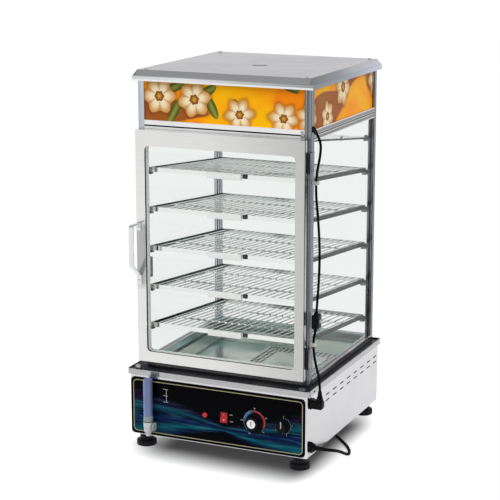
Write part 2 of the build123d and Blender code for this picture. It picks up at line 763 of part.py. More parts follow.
def knuckle(z0, z1, bore):
    """One barrel of a hinge on the door axis."""
    barrel = rod((hinge_x, hinge_y, z0), (0, 0, 1), HINGE_R, z1 - z0)
    return barrel - rod((hinge_x, hinge_y, z0 - 1), (0, 0, 1), bore, z1 - z0 + 2)


def make_frame_leaf(middle):
    """Leaf on the side of the post with the two outer knuckles."""
    z0 = middle - HINGE_H / 2
    z1 = middle + HINGE_H / 2
    third = HINGE_H / 3
    leaf = block(tower_x, tower_x + SHEET, hinge_y + HINGE_R + 0.6, post_in_front - 2, z0, z1)
    for low, high in ((z0, z0 + third), (z1 - third, z1)):
        leaf += block(tower_x, tower_x + SHEET, hinge_y + 2, hinge_y + HINGE_R + 2, low, high)
        leaf += knuckle(low, high, HINGE_PIN_R)
    return leaf


def make_door_leaf(middle):
    """Leaf on the door edge with the middle knuckle."""
    third = HINGE_H / 3
    z0 = middle - third / 2 + 0.3
    z1 = middle + third / 2 - 0.3
    leaf = block(door_half_w, door_half_w + SHEET, door_front + 1, door_back - 1,
                 middle - HINGE_H / 2, middle + HINGE_H / 2)
    leaf += block(door_half_w + 1, hinge_x - 2.5, hinge_y - 1.5, hinge_y + 1.5, z0, z1)
    leaf += knuckle(z0, z1, HINGE_PIN_R + 0.05)
    return leaf


def make_hinge_pin(middle):
    """Pin through the three knuckles of one hinge."""
    return rod((hinge_x, hinge_y, middle - HINGE_H / 2 - 1), (0, 0, 1), HINGE_PIN_R, HINGE_H + 2)


def make_door_catch():
    """Magnet block on the inner face of the left front post."""
    return block(-post_in_x, -post_in_x + 8, tower_front + 0.3, post_in_front,
                 catch_low, catch_high)


# Controls


def make_knob(x, radius, depth):
    """Knob with a shaft, a bevelled face and a raised pointer."""
    knob = rod((x, panel_face - 0.5, panel_z), (0, -1, 0), radius, depth)
    knob = chamfer(knob.faces().sort_by(Axis.Y)[0].edges(), 2.0)
    knob += rod((x, panel_face - 1, panel_z), (0, 1, 0), 3.0, 16.0)
    pointer = block(x - 1.2, x + 1.2, panel_face - depth - 1.3, panel_face - depth + 1,
                    panel_z + radius * 0.35, panel_z + radius * 0.8)
    return knob + pointer


def make_switch_body(x, half_w, half_h, depth):
    """Body of a rotary control behind the front sheet."""
    y0 = base_front + SHEET
    body = block(x - half_w, x + half_w, y0, y0 + depth, panel_z - half_h, panel_z + half_h)
    return body - rod((x, y0 - 1, panel_z), (0, 1, 0), 3.3, 16.0)


def make_rocker_housing():
    """Snap-in housing of the rocker with a flange on the panel."""
    y0 = panel_face - 2.0
    back = base_front + 22
    housing = block(ROCKER_X - 11, ROCKER_X + 11, y0, panel_face, panel_z - 15, panel_z + 15)
    housing += block(ROCKER_X - 9, ROCKER_X + 9, y0, back, panel_z - 12.5, panel_z + 12.5)
    housing -= block(ROCKER_X - 7.5, ROCKER_X + 7.5, y0 - 1, back - 2, panel_z - 11.5, panel_z + 11.5)
    return housing - rod((ROCKER_X - 8.5, rocker_y, panel_z), (1, 0, 0), PIVOT_R + 0.05, 17.0)


def make_rocker():
    """Rocker pressed at its upper end, with its two side pivots."""
    half = 9.6
    outline = Polyline((-half, -2.5), (0, -1.0), (half, -2.5), (half, 2.0), (4.0, 7.0), (-4.0, 7.0),
                       (-half, 2.0), close=True)
    plane = Plane(origin=(-7, 0, 0), x_dir=(0, 0, 1), z_dir=(1, 0, 0))
    blank = extrude(plane * make_face(outline), 14.0)
    if blank.center().Y < 0:
        blank = mirror(blank, Plane.XZ)
    rocker = Location((ROCKER_X, rocker_y, panel_z), (-ROCKER_TILT, 0, 0)) * blank
    return rocker + rod((ROCKER_X - 8.4, rocker_y, panel_z), (1, 0, 0), PIVOT_R, 16.8)


def make_pilot_lamp():
    """Domed red lamp with its body behind the panel."""
    lamp = rod((LAMP_X, panel_face, panel_z), (0, -1, 0), 6.8, 2.0)
    lamp += rod((LAMP_X, panel_face - 1.5, panel_z), (0, -1, 0), 5.4, 4.0)
    lamp = fillet(lamp.faces().sort_by(Axis.Y)[0].edges(), 2.0)
    lamp += rod((LAMP_X, panel_face - 1, panel_z), (0, 1, 0), 5.0, 18.0)
    return lamp


# Lamp lead and power cord

LEAD_EXIT = Vector(0.50, 0.16, -0.85).normalized()


def bend_radii(points, diameter):
    """Each arc as large as its two runs allow; prints the list."""
    radii = []
    for before, here, after in zip(points, points[1:], points[2:]):
        first = Vector(*here) - Vector(*before)
        second = Vector(*after) - Vector(*here)
        turn = radians(first.get_angle(second))
        radii.append(0.45 * min(first.length, second.length) / tan(turn / 2))
    print("radii in diameters:", [round(radius / diameter, 1) for radius in radii])
    return radii


def make_cord(points, radius):
    """Round tube along straight runs joined by tangent arcs."""
    path = FilletPolyline(*points, radius=bend_radii(points, 2 * radius))
    section = Plane(origin=path @ 0, z_dir=path % 0) * Circle(radius)
    tube = sweep(section, path=path)
    ideal = pi * radius * radius * path.length
    print("cord length", round(path.length), "volume ratio", round(tube.volume / ideal, 4))
    return tube


lead_start = Vector(tower_x + 2, grommet_y, grommet_z) + LEAD_EXIT * 10
lead_route = [
    tuple(lead_start),
    tuple(lead_start + LEAD_EXIT * 18),
    (tower_x + 15.0, -168.5, header_bottom - 27.0),
    (tower_x + 7.5, -172.0, header_bottom - 70.0),
    (tower_x + 6.4, -173.2, header_bottom - 110.0),
    (tower_x + 10.5, -170.0, header_bottom - 161.0),
    (tower_x + 14.0, -166.0, header_bottom - 227.0),
    (tower_x + 14.5, -168.5, front_sill_top + 220.0),
    (tower_x + 12.5, -177.0, front_sill_top + 150.0),
    (tower_x + 11.5, -181.5, front_sill_top + 98.0),
    (tower_x + 6.8, -179.5, front_sill_top + 84.0),
    (tower_x + 6.6, -178.5, front_sill_top + 58.0),
    (tower_x + 13.0, -181.0, front_sill_top + 26.0),
    (tower_x + 28.0, -194.0, plug_top + 26.0),
    (base_x + PLUG_STAND_OFF, plug_y, plug_top),
]


def make_lead_grommet():
    """Black bush in the post with a short hood that turns the lead down."""
    start = (tower_x + 2, grommet_y, grommet_z)
    bush = rod((tower_x, grommet_y, grommet_z), (1, 0, 0), 6.5, 2.0)
    bush += Pos(*start) * Sphere(4.6)
    bush += rod(start, tuple(LEAD_EXIT), 4.2, 10.0)
    bush -= block(tower_x - 8, tower_x, grommet_y - 9, grommet_y + 9, grommet_z - 9, grommet_z + 9)
    return bush + rod((tower_x - 5, grommet_y, grommet_z), (1, 0, 0), 3.5, 6.0)


def make_lead_clip(upper, lower):
    """Saddle on the post round a straight run of the lead."""
    top = Vector(*upper)
    bottom = Vector(*lower)
    middle = (top + bottom) * 0.5
    direction = (bottom - top).normalized()
    clip = block(tower_x, middle.X + 5, middle.Y - 6, middle.Y + 6, middle.Z - 4, middle.Z + 4)
    return clip - rod(tuple(middle - direction * 12), tuple(direction), LEAD_R + 0.3, 24.0)


def make_lamp_switch():
    """In-line switch that the lead runs through."""
    top = Vector(*lead_route[8])
    bottom = Vector(*lead_route[9])
    middle = (top + bottom) * 0.5
    direction = (bottom - top).normalized()
    body = block(middle.X - 7, middle.X + 9, middle.Y - 12, middle.Y + 13, middle.Z - 18, middle.Z + 18)
    body = fillet(body.edges().filter_by(Axis.Z), 3.0)
    body -= rod(tuple(middle - direction * 30), tuple(direction), LEAD_R + 0.35, 60.0)
    pocket = rod((middle.X + 5.0, middle.Y + 2, middle.Z), (1, 0, 0), 4.3, 6.0)
    return body - pocket


def make_lamp_switch_button():
    """Push button of the in-line switch."""
    middle = (Vector(*lead_route[8]) + Vector(*lead_route[9])) * 0.5
    return rod((middle.X + 6.6, middle.Y + 2, middle.Z), (1, 0, 0), 4.0, 4.0)


def make_lead_plug():
    """Elbow plug on the side of the base with a tapered boot."""
    last = Vector(*lead_route[-1])
    run = (Vector(*lead_route[-2]) - last).normalized()
    plug = block(base_x + 0.5, base_x + 27, plug_y - 11, plug_y + 11, plug_z - 11, plug_z + 11)
    plug = fillet(plug.edges().filter_by(Axis.Y), 2.5)
    plug += rod((last.X, plug_y, plug_z), (0, 0, 1), 6.5, 14.0)
    boot = Plane(origin=tuple(last), z_dir=tuple(run * -1))
    plug += boot * Cone(4.2, 6.3, 20.0, align=(Align.CENTER, Align.CENTER, Align.MIN))
    return plug


def make_side_socket():
    """Outlet in the side wall that the elbow plug covers."""
    socket = block(base_x - 22, base_x + 0.5, plug_y - 9, plug_y + 9, plug_z - 9, plug_z + 9)
    return socket


def make_power_gland():
    """Cable gland low on the right side."""
    gland = rod((base_x, gland_y, gland_z), (1, 0, 0), 12.0, 6.0)
    gland += rod((base_x + 6, gland_y, gland_z), (1, 0, 0), 9.0, gland_end - base_x - 6)
    gland += rod((base_x - 8, gland_y, gland_z), (1, 0, 0), 8.0, 8.5)
    return gland


coil_half = COIL_TURNS_WIDE * CORD_R
tail_in = (COIL_X + COIL_R, COIL_Y - COIL_TAIL, cord_z)
cord_route = [
    (gland_end, gland_y, gland_z),
    (gland_end + 20.5, gland_y, gland_z),
    (267.0, -190.0, 51.0),
    (269.0, -166.0, 46.0),
    (268.0, -135.0, 33.0),
    (265.0, -105.0, 19.0),
    (259.0, -76.0, 7.5),
    (248.0, -47.0, cord_z),
    (232.0, -22.0, cord_z),
    (207.0, 7.0, cord_z),
    (172.0, 41.0, cord_z),
    (135.0, 88.0, cord_z),
    (104.0, 143.0, cord_z),
    (86.0, 190.0, cord_z),
    (tail_in[0], 234.0, cord_z),
    tail_in,
]


def make_power_cord_coil():
    """Spare cord wound flat, with a straight tail at each end."""
    high = 2 * CORD_R * COIL_TURNS_HIGH
    coil = rod((COIL_X, COIL_Y, 0), (0, 0, 1), COIL_R + coil_half, high)
    coil -= rod((COIL_X, COIL_Y, -1), (0, 0, 1), COIL_R - coil_half, high + 2)
    coil += rod(tail_in, (0, 1, 0), CORD_R, COIL_TAIL)
    coil += rod((COIL_X - COIL_R, COIL_Y, cord_z), (0, -1, 0), CORD_R, COIL_TAIL)
    return coil


def make_power_plug():
    """Mains plug lying at the end of the coil's tail."""
    x = COIL_X - COIL_R
    y = COIL_Y - COIL_TAIL
    plug = rod((x, y, cord_z), (0, -1, 0), CORD_R, 10.0)
    body = block(x - 16, x + 16, y - 36, y - 8, 0, 14)
    plug += fillet(body.edges().filter_by(Axis.Z), 5.0)
    for offset in (-7.0, 7.0):
        plug += block(x + offset - 3, x + offset + 3, y - 53, y - 35, 6, 7.8)
    return plug


# Build

save("base_shell", make_base_shell())
save("base_floor", make_base_floor())
save("feet", *[make_foot(x, y) for x, y in foot_places()])
save("control_panel", make_control_panel())
save("pan_head_screws", *make_screws())
save("rim_tray", make_rim_tray())
save("rim_gasket", make_rim_gasket())
save("floor_pan", make_floor_pan())
save("steam_cover", make_steam_cover())
save("filler_lid", make_filler_lid())
save("water_tank", make_water_tank())
save("heating_element", make_heating_element())
save("sight_tube", make_sight_tube())
save("tap_body", make_tap_body())
save("tap_lever", make_tap_lever())

save("post_front_right", make_post(1, False))
save("post_front_left", make_post(-1, False))
save("post_rear_right", make_post(1, True))
save("post_rear_left", make_post(-1, True))
save("foot_rails", *make_foot_rails())
save("header_rails", *make_header_rails())
save("glass_panes", *upright_panes(tower_foot + 8, header_bottom + SLOT))
save("sign_panels", *make_signs())
save("header_frame", make_header_frame())
save("top_cap", make_top_cap())
save("lamp_tube", make_lamp_tube())
save("lamp_holders", make_lamp_holder(1), make_lamp_holder(-1))
save("drip_plate", make_drip_plate())

shelf = make_shelf()
grip = make_shelf_grip()
grips = []
brackets = make_drip_lugs()
for number, z in enumerate(shelf_fronts, start=1):
    save(f"shelf_{number}", on_slope(shelf, shelf_y, z, SHELF_FALL))
    grips.append(on_slope(grip, shelf_y, z, SHELF_FALL))
    brackets += make_shelf_brackets(shelf_y, z, SHELF_FALL, -BAND_H / 2, shelf_run, 6.0)
save("shelf_grips", *grips)
save("post_brackets", *brackets)

save("door_frame", make_door_frame())
save("door_glass", make_door_glass())
save("door_gasket", make_door_gasket())
save("door_handle", make_door_handle())
save("hinge_frame_leaves", *[make(z) for z in hinge_heights for make in (make_frame_leaf, make_hinge_pin)])
save("hinge_door_leaves", *[make_door_leaf(z) for z in hinge_heights])
save("door_catch", make_door_catch())

save("thermostat_knob", make_knob(thermostat_x, THERMOSTAT_R, THERMOSTAT_DEPTH))
save("thermostat_body", make_switch_body(thermostat_x, *THERMOSTAT_BODY))
save("selector_knob", make_knob(selector_x, SELECTOR_R, SELECTOR_DEPTH))
save("selector_body", make_switch_body(selector_x, *SELECTOR_BODY))
save("rocker_housing", make_rocker_housing())
save("rocker", make_rocker())
save("pilot_lamp", make_pilot_lamp())

save("lead_grommet", make_lead_grommet())
save("lamp_lead", make_cord(lead_route, LEAD_R))
save("lead_clips", *[make_lead_clip(lead_route[i], lead_route[i + 1]) for i in (3, 10)])
save("lamp_switch", make_lamp_switch())
save("lamp_switch_button", make_lamp_switch_button())
save("lead_plug", make_lead_plug())
save("side_socket", make_side_socket())
save("power_gland", make_power_gland())
save("power_cord", make_cord(cord_route, CORD_R))
save("power_cord_coil", make_power_cord_coil())
save("power_plug", make_power_plug())
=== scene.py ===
from math import atan2, cos, pi, radians, sin

import bpy
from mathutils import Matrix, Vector


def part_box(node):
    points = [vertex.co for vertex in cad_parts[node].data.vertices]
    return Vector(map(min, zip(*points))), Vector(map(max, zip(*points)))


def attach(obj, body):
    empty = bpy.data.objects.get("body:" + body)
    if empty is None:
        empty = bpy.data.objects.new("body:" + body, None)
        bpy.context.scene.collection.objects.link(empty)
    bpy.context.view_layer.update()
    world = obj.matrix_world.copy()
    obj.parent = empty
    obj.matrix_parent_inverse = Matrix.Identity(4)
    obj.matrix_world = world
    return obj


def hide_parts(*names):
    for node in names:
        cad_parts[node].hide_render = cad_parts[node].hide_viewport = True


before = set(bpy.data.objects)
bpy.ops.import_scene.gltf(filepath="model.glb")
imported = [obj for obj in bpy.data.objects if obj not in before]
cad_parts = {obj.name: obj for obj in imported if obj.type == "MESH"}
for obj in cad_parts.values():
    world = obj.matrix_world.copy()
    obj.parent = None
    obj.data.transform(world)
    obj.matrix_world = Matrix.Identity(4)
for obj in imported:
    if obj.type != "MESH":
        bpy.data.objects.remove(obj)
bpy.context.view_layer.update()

bl_info = {
    "name": "Bun Cabinet",
    "version": (1, 0, 0),
    "blender": (4, 5, 0),
    "location": "View3D > Sidebar > Bun Cabinet",
    "description": "Builds the looks of a glazed bun steaming cabinet round its solid frame",
    "category": "Object",
}

CABINET = "cabinet"
DOOR = "door"

# Directions of the cabinet
RIGHT = (1, 0, 0)
FRONT = (0, -1, 0)
REAR = (0, 1, 0)
UP = (0, 0, 1)

# Faces that meet at less than this angle are smoothed, and a finish that belongs to an outer face
# reaches this far in from it
SMOOTH_ANGLE = radians(42)
SKIN = 0.0006

# Places of the controls on the front, in metres, and the rocker's tilt at rest
CONTROL_Z = 0.101
HEAT_X = 0.093
MODE_X = 0.163
ROCKER_X = 0.019
PILOT_X = -0.027
ROCKER_PIVOT_Y = -0.224
ROCKER_TILT = radians(-9.0)
HEAT_DEPTH = 0.018
MODE_DEPTH = 0.016

# Radii of the cords, and other sizes and places that more than one piece shares
LEAD_RADIUS = 0.00275
CORD_RADIUS = 0.0036
SHELF_COUNT = 5
SHELF_PITCH = 0.0895
COIL_CENTRE = Vector((0.040, 0.325))
MAINS_PLUG_X = 0.002

# Control points of the leads, in metres. The lamp lead has the points of its solid. The mains cord leaves
# its gland in a bend that follows the photograph, so it runs a few millimetres beside its solid there.
LEAD_ROUTE = [
    (0.21401, -0.1744, 0.7445), (0.22301, -0.17152, 0.7292), (0.222, -0.1685, 0.700), (0.2145, -0.172, 0.657),
    (0.2134, -0.1732, 0.617), (0.2175, -0.170, 0.566), (0.221, -0.166, 0.500), (0.2215, -0.1685, 0.430),
    (0.2195, -0.177, 0.360), (0.2185, -0.1815, 0.308), (0.2138, -0.1795, 0.294), (0.2136, -0.1785, 0.268),
    (0.220, -0.181, 0.236), (0.235, -0.194, 0.208), (0.238, -0.200, 0.182),
]
CORD_ROUTE = [
    (0.2305, -0.205, 0.054), (0.2330, -0.205, 0.054), (0.2475, -0.205, 0.0535), (0.2606, -0.198, 0.0512),
    (0.2680, -0.185, 0.0470), (0.2684, -0.166, 0.0395), (0.2684, -0.138, 0.0270), (0.2682, -0.110, 0.0130),
    (0.2655, -0.082, 0.0045), (0.250, -0.047, 0.0039), (0.2225, -0.012, 0.0039), (0.180, 0.034, 0.0039),
    (0.137, 0.086, 0.0039), (0.104, 0.143, 0.0039), (0.086, 0.190, 0.0039), (0.078, 0.234, 0.0039),
    (0.078, 0.280, 0.0039), (0.0810, 0.303, 0.0039),
]
CORD_TAIL = [
    (-0.0055, 0.300, 0.0062), (-0.002, 0.288, 0.0045), (0.0012, 0.279, 0.0039), (0.002, 0.270, 0.0039),
]


class CabinetSizes(bpy.types.PropertyGroup):
    """Sizes of the pieces that are modelled here"""

    handle_bend: bpy.props.FloatProperty(
        name="Handle bend", description="Radius of the strap's bends", default=0.005, unit="LENGTH")
    knob_flute: bpy.props.FloatProperty(
        name="Knob flute", description="Depth of the grip flutes of the knobs", default=0.0008, unit="LENGTH")
    knob_flutes: bpy.props.IntProperty(
        name="Knob flutes", description="Number of grip flutes round a knob", default=24)
    dial_radius: bpy.props.FloatProperty(
        name="Dial radius", description="Outer radius of the printed dial", default=0.0265, unit="LENGTH")
    key_half: bpy.props.FloatProperty(
        name="Key half height", description="Half the height of the rocker's key", default=0.0116,
        unit="LENGTH")
    cord_turns: bpy.props.FloatProperty(
        name="Cord turns", description="Turns of the spare mains cord", default=5.5)
    lens: bpy.props.FloatProperty(
        name="Lens", description="Focal length of the camera in millimetres", default=114.84)


class CabinetColours(bpy.types.PropertyGroup):
    """Colours of the finishes"""

    steel: bpy.props.FloatVectorProperty(
        name="Stainless", description="Folded stainless sheet", subtype="COLOR", size=4,
        default=(0.78, 0.78, 0.77, 1))
    cap: bpy.props.FloatVectorProperty(
        name="Lid", description="Sheet of the lid", subtype="COLOR", size=4, default=(0.45, 0.45, 0.465, 1))
    post: bpy.props.FloatVectorProperty(
        name="Posts", description="Anodised corner posts", subtype="COLOR", size=4,
        default=(0.60, 0.63, 0.68, 1))
    sign_high: bpy.props.FloatVectorProperty(
        name="Sign top", description="Upper colour of the sign ground", subtype="COLOR", size=4,
        default=(0.95, 0.47, 0.006, 1))
    sign_low: bpy.props.FloatVectorProperty(
        name="Sign foot", description="Lower colour of the sign ground", subtype="COLOR", size=4,
        default=(0.90, 0.24, 0.008, 1))
    plum: bpy.props.FloatVectorProperty(
        name="Drift", description="Dark drift in the sign ground", subtype="COLOR", size=4,
        default=(0.22, 0.045, 0.02, 1))
    petal: bpy.props.FloatVectorProperty(
        name="Petals", description="Petals on the sign", subtype="COLOR", size=4,
        default=(0.88, 0.74, 0.48, 1))
    leaf: bpy.props.FloatVectorProperty(
        name="Leaves", description="Leaves on the sign", subtype="COLOR", size=4,
        default=(0.07, 0.11, 0.015, 1))
    ribbon: bpy.props.FloatVectorProperty(
        name="Ribbon", description="Light ribbon of the control panel", subtype="COLOR", size=4,
        default=(0.004, 0.10, 0.15, 1))
    water: bpy.props.FloatVectorProperty(
        name="Level tube", description="Tint of the level tube", subtype="COLOR", size=4,
        default=(0.32, 0.46, 0.90, 1))


def sizes():
    """The sizes that the user can change."""
    return bpy.context.scene.cabinet_sizes


def colours():
    """The colours that the user can change."""
    return bpy.context.scene.cabinet_colours


# Modelling by hand, in small steps


def alone(obj):
    """Selects one object and nothing else."""
    bpy.ops.object.select_all(action="DESELECT")
    obj.select_set(True)
    bpy.context.view_layer.objects.active = obj


def settled(obj, name):
    """Names a piece and moves its place, turn and scale into its mesh."""
    alone(obj)
    bpy.ops.object.transform_apply(location=True, rotation=True, scale=True)
    obj.name = name
    obj.data.name = name
    return obj


def modify(obj, kind, **settings):
    """Applies one modifier."""
    modifier = obj.modifiers.new(kind.lower(), kind)
    for name, value in settings.items():
        setattr(modifier, name, value)
    alone(obj)
    bpy.ops.object.modifier_apply(modifier=modifier.name)
    return obj


def soften(obj, width, segments=3, angle=35.0):
    """Rounds the sharp edges and smooths the rest."""
    modify(obj, "BEVEL", width=width, segments=segments, limit_method="ANGLE", angle_limit=radians(angle))
    bpy.ops.object.shade_smooth_by_angle(angle=SMOOTH_ANGLE)
    return obj


def joined(name, objects):
    """One piece from several."""
    alone(objects[0])
    for obj in objects:
        obj.select_set(True)
    if len(objects) > 1:
        bpy.ops.object.join()
    objects[0].name = name
    objects[0].data.name = name
    return objects[0]


def discard(obj):
    """Deletes a helping shape together with its mesh."""
    bpy.data.meshes.remove(obj.data)


def carve(obj, cutter):
    """Takes one shape away from another and deletes it."""
    modify(obj, "BOOLEAN", object=cutter, operation="DIFFERENCE", solver="EXACT")
    discard(cutter)


def repeated(name, shape, shifts, turns=None):
    """One piece from copies of a shape, each with its own mesh, turned about the origin and shifted."""
    twins = []
    for shift, turn in zip(shifts, turns or [(0, 0, 0)] * len(shifts)):
        alone(shape)
        bpy.ops.object.duplicate()
        twin = bpy.context.object
        twin.rotation_euler = turn
        twin.location = shift
        twins.append(settled(twin, name))
    discard(shape)
    return joined(name, twins)


def bar(name, low, high, rounding=0.0005, segments=3):
    """Box between two corners with rounded edges."""
    low, high = Vector(low), Vector(high)
    bpy.ops.object.select_all(action="DESELECT")
    bpy.ops.mesh.primitive_cube_add(size=1, location=(low + high) / 2)
    obj = bpy.context.object
    obj.scale = high - low
    settled(obj, name)
    return soften(obj, rounding, segments) if rounding else obj


def aimed(direction):
    """Turn that brings the upright axis into a direction."""
    return Vector(direction).to_track_quat("Z", "Y").to_euler()


def turned(name, start, direction, stations, segments=48, rounding=0.0):
    """Disc extruded from station to station, each a distance and a radius, then turned to its place."""
    here, radius = stations[0]
    bpy.ops.object.select_all(action="DESELECT")
    bpy.ops.mesh.primitive_circle_add(vertices=segments, radius=radius, fill_type="NGON",
                                      location=(0, 0, here))
    obj = bpy.context.object
    bpy.ops.object.mode_set(mode="EDIT")
    bpy.ops.mesh.select_mode(type="FACE")
    bpy.ops.mesh.select_all(action="SELECT")
    for distance, wide in stations[1:]:
        bpy.ops.mesh.extrude_region_move(TRANSFORM_OT_translate={"value": (0, 0, distance - here)})
        ratio = wide / radius
        bpy.ops.transform.resize(value=(ratio, ratio, 1), center_override=(0, 0, distance))
        here, radius = distance, wide
    outward(obj)
    settled(obj, name)
    if rounding:
        soften(obj, rounding)
    else:
        bpy.ops.object.shade_smooth_by_angle(angle=SMOOTH_ANGLE)
    obj.rotation_euler = aimed(direction)
    obj.location = start
    return settled(obj, name)


def outward(obj):
    """Turns every face outwards and closes the mesh."""
    bpy.ops.mesh.select_all(action="SELECT")
    bpy.ops.mesh.normals_make_consistent(inside=False)
    bpy.ops.object.mode_set(mode="OBJECT")
    return obj


def pick(obj, kind, test):
    """Opens a mesh with those faces or edges selected that pass a test."""
    alone(obj)
    bpy.ops.object.mode_set(mode="EDIT")
    bpy.ops.mesh.select_mode(type=kind)
    bpy.ops.mesh.select_all(action="DESELECT")
    bpy.ops.object.mode_set(mode="OBJECT")
    for part in obj.data.polygons if kind == "FACE" else obj.data.edges:
        part.select = bool(test(part))
    bpy.ops.object.mode_set(mode="EDIT")


def strap(name, x, width, points, thickness, bend):
    """Folded strap: a plane drawn out edge by edge along a side view, then given its thickness."""
    corners = [Vector((x, y, z)) for y, z in points]
    run = corners[1] - corners[0]
    bpy.ops.object.select_all(action="DESELECT")
    bpy.ops.mesh.primitive_plane_add(size=1, location=(corners[0] + corners[1]) / 2)
    obj = bpy.context.object
    obj.scale = (width, run.length, 1)
    obj.rotation_euler = (atan2(run.z, run.y), 0, 0)
    settled(obj, name)

    def at_end(edge):
        first, second = (obj.data.vertices[index].co for index in edge.vertices)
        return ((first + second) / 2 - corners[1]).length < 1e-5

    pick(obj, "EDGE", at_end)
    for here, ahead in zip(corners[1:], corners[2:]):
        bpy.ops.mesh.extrude_region_move(TRANSFORM_OT_translate={"value": tuple(ahead - here)})
    outward(obj)
    modify(obj, "BEVEL", width=bend, segments=5, limit_method="ANGLE", angle_limit=radians(15))
    modify(obj, "SOLIDIFY", thickness=thickness, offset=0.0)
    return soften(obj, thickness * 0.2, 2, 60.0)


def lettering(name, words, height, front):
    """Generic figures as one thin mesh: each a text with its middle, standing on the front."""
    marks = []
    for text, x, z in words:
        bpy.ops.object.select_all(action="DESELECT")
        bpy.ops.object.text_add(location=(x, front, z), rotation=(pi / 2, 0, 0))
        mark = bpy.context.object
        mark.data.body = text
        mark.data.size = height
        mark.data.align_x = "CENTER"
        mark.data.align_y = "CENTER"
        mark.data.extrude = 0.00008
        bpy.ops.object.convert(target="MESH")
        marks.append(settled(bpy.context.object, name))
    return joined(name, marks)


def cord_line(name, points, radius):
    """Smooth round cord whose control points are the route."""
    curve = bpy.data.curves.new(name, "CURVE")
    curve.dimensions = "3D"
    spline = curve.splines.new("NURBS")
    spline.points.add(len(points) - 1)
    for point, co in zip(spline.points, points):
        point.co = (*co, 1)
    spline.order_u = 3
    spline.use_endpoint_u = True
    curve.bevel_depth = radius
    curve.bevel_resolution = 4
    curve.resolution_u = 8
    curve.use_fill_caps = True
    obj = bpy.data.objects.new(name, curve)
    bpy.context.scene.collection.objects.link(obj)
    return obj


def dress(obj, finish):
    """Gives an object one finish."""
    obj.data.materials.clear()
    obj.data.materials.append(FINISHES[finish])


def place(obj, finish, body, slot, *nodes):
    """Gives a piece its finish and its body, and hides the solids that it stands for. The slot is not used.
    """
    dress(obj, finish)
    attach(obj, body)
    if nodes:
        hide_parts(*nodes)
    return obj


# Finishes


class Value:
    """Output of a shader node, used in sums and comparisons as a plain number is."""

    def __init__(self, socket):
        self.socket = socket
        self.tree = socket.id_data

    def __add__(self, other):
        return calc("ADD", self, other)

    def __sub__(self, other):
        return calc("SUBTRACT", self, other)

    def __rsub__(self, other):
        return calc("SUBTRACT", other, self)

    def __mul__(self, other):
        return calc("MULTIPLY", self, other)

    def __truediv__(self, other):
        return calc("DIVIDE", self, other)

    def __abs__(self):
        return calc("ABSOLUTE", self)

    def __lt__(self, other):
        return calc("LESS_THAN", self, other)

    def __gt__(self, other):
        return calc("GREATER_THAN", self, other)


def node_for(values, kind):
    """New node in the tree that one of these values comes from."""
    tree = next(value.tree for value in values if isinstance(value, Value))
    return tree.nodes.new(kind)


def feed(socket, value):
    """Sets a socket to a plain value, or links a node's output to it."""
    if isinstance(value, Value):
        value.tree.links.new(value.socket, socket)
    else:
        socket.default_value = value


def calc(operation, *values):
    """One sum or comparison in a shader tree."""
    node = node_for(values, "ShaderNodeMath")
    node.operation = operation
    for socket, value in zip(node.inputs, values):
        feed(socket, value)
    return Value(node.outputs[0])


def reach(u, v):
    """Distance from two offsets at right angles."""
    return calc("SQRT", u * u + v * v)


def ranged(value, low, high, to_low=0.0, to_high=1.0, smooth=False):
    """Value moved from one range to another."""
    node = node_for([value], "ShaderNodeMapRange")
    node.interpolation_type = "SMOOTHSTEP" if smooth else "LINEAR"
    for socket, number in zip(node.inputs, (value, low, high, to_low, to_high)):
        feed(socket, number)
    return Value(node.outputs[0])


def blended(factor, first, second, blend_type="MIX"):
    """Mix of two colours."""
    node = node_for((factor, first, second), "ShaderNodeMix")
    node.data_type = "RGBA"
    node.blend_type = blend_type
    for socket, value in zip((node.inputs[0], node.inputs[6], node.inputs[7]), (factor, first, second)):
        feed(socket, value)
    return Value(node.outputs[2])


def scaled(colour, level):
    """Colour times a grey level."""
    return blended(1.0, colour, level, "MULTIPLY")


def ramp(value, *stops):
    """Grey level from a value, through stops of place and level."""
    node = node_for([value], "ShaderNodeValToRGB")
    feed(node.inputs[0], value)
    steps = node.color_ramp.elements
    while len(steps) < len(stops):
        steps.new(0.5)
    for step, (position, level) in zip(steps, stops):
        step.position = position
        step.color = (level, level, level, 1)
    return Value(node.outputs[0])


def axes_of(where):
    """The three coordinates of a place."""
    node = node_for([where], "ShaderNodeSeparateXYZ")
    feed(node.inputs[0], where)
    return [Value(output) for output in node.outputs]


def flattened(along, up):
    """Two coordinates as a place in a flat print."""
    node = node_for([along], "ShaderNodeCombineXYZ")
    feed(node.inputs[0], along)
    feed(node.inputs[1], up)
    return Value(node.outputs[0])


def stretched(where, scale):
    """Place with a scale for each direction."""
    node = node_for([where], "ShaderNodeMapping")
    feed(node.inputs["Vector"], where)
    node.inputs["Scale"].default_value = scale
    return Value(node.outputs[0])


def noise(where, scale, detail, distortion=0.0):
    """Soft random level over a place."""
    node = node_for([where], "ShaderNodeTexNoise")
    for label, value in (("Vector", where), ("Scale", scale), ("Detail", detail), ("Distortion", distortion)):
        feed(node.inputs[label], value)
    return Value(node.outputs["Fac"])


def new_group(name, values, outputs):
    """Empty shader group that takes a place and some values, and the sockets of its results."""
    tree = bpy.data.node_groups.new(name, "ShaderNodeTree")
    tree.interface.new_socket("Vector", in_out="INPUT", socket_type="NodeSocketVector")
    for label, value in values.items():
        socket = tree.interface.new_socket(label, in_out="INPUT", socket_type="NodeSocketFloat")
        socket.default_value = value
    for label in outputs:
        tree.interface.new_socket(label, in_out="OUTPUT", socket_type="NodeSocketFloat")
    source = tree.nodes.new("NodeGroupInput")
    given = {label: Value(source.outputs[label]) for label in ("Vector", *values)}
    return given, tree.nodes.new("NodeGroupOutput").inputs


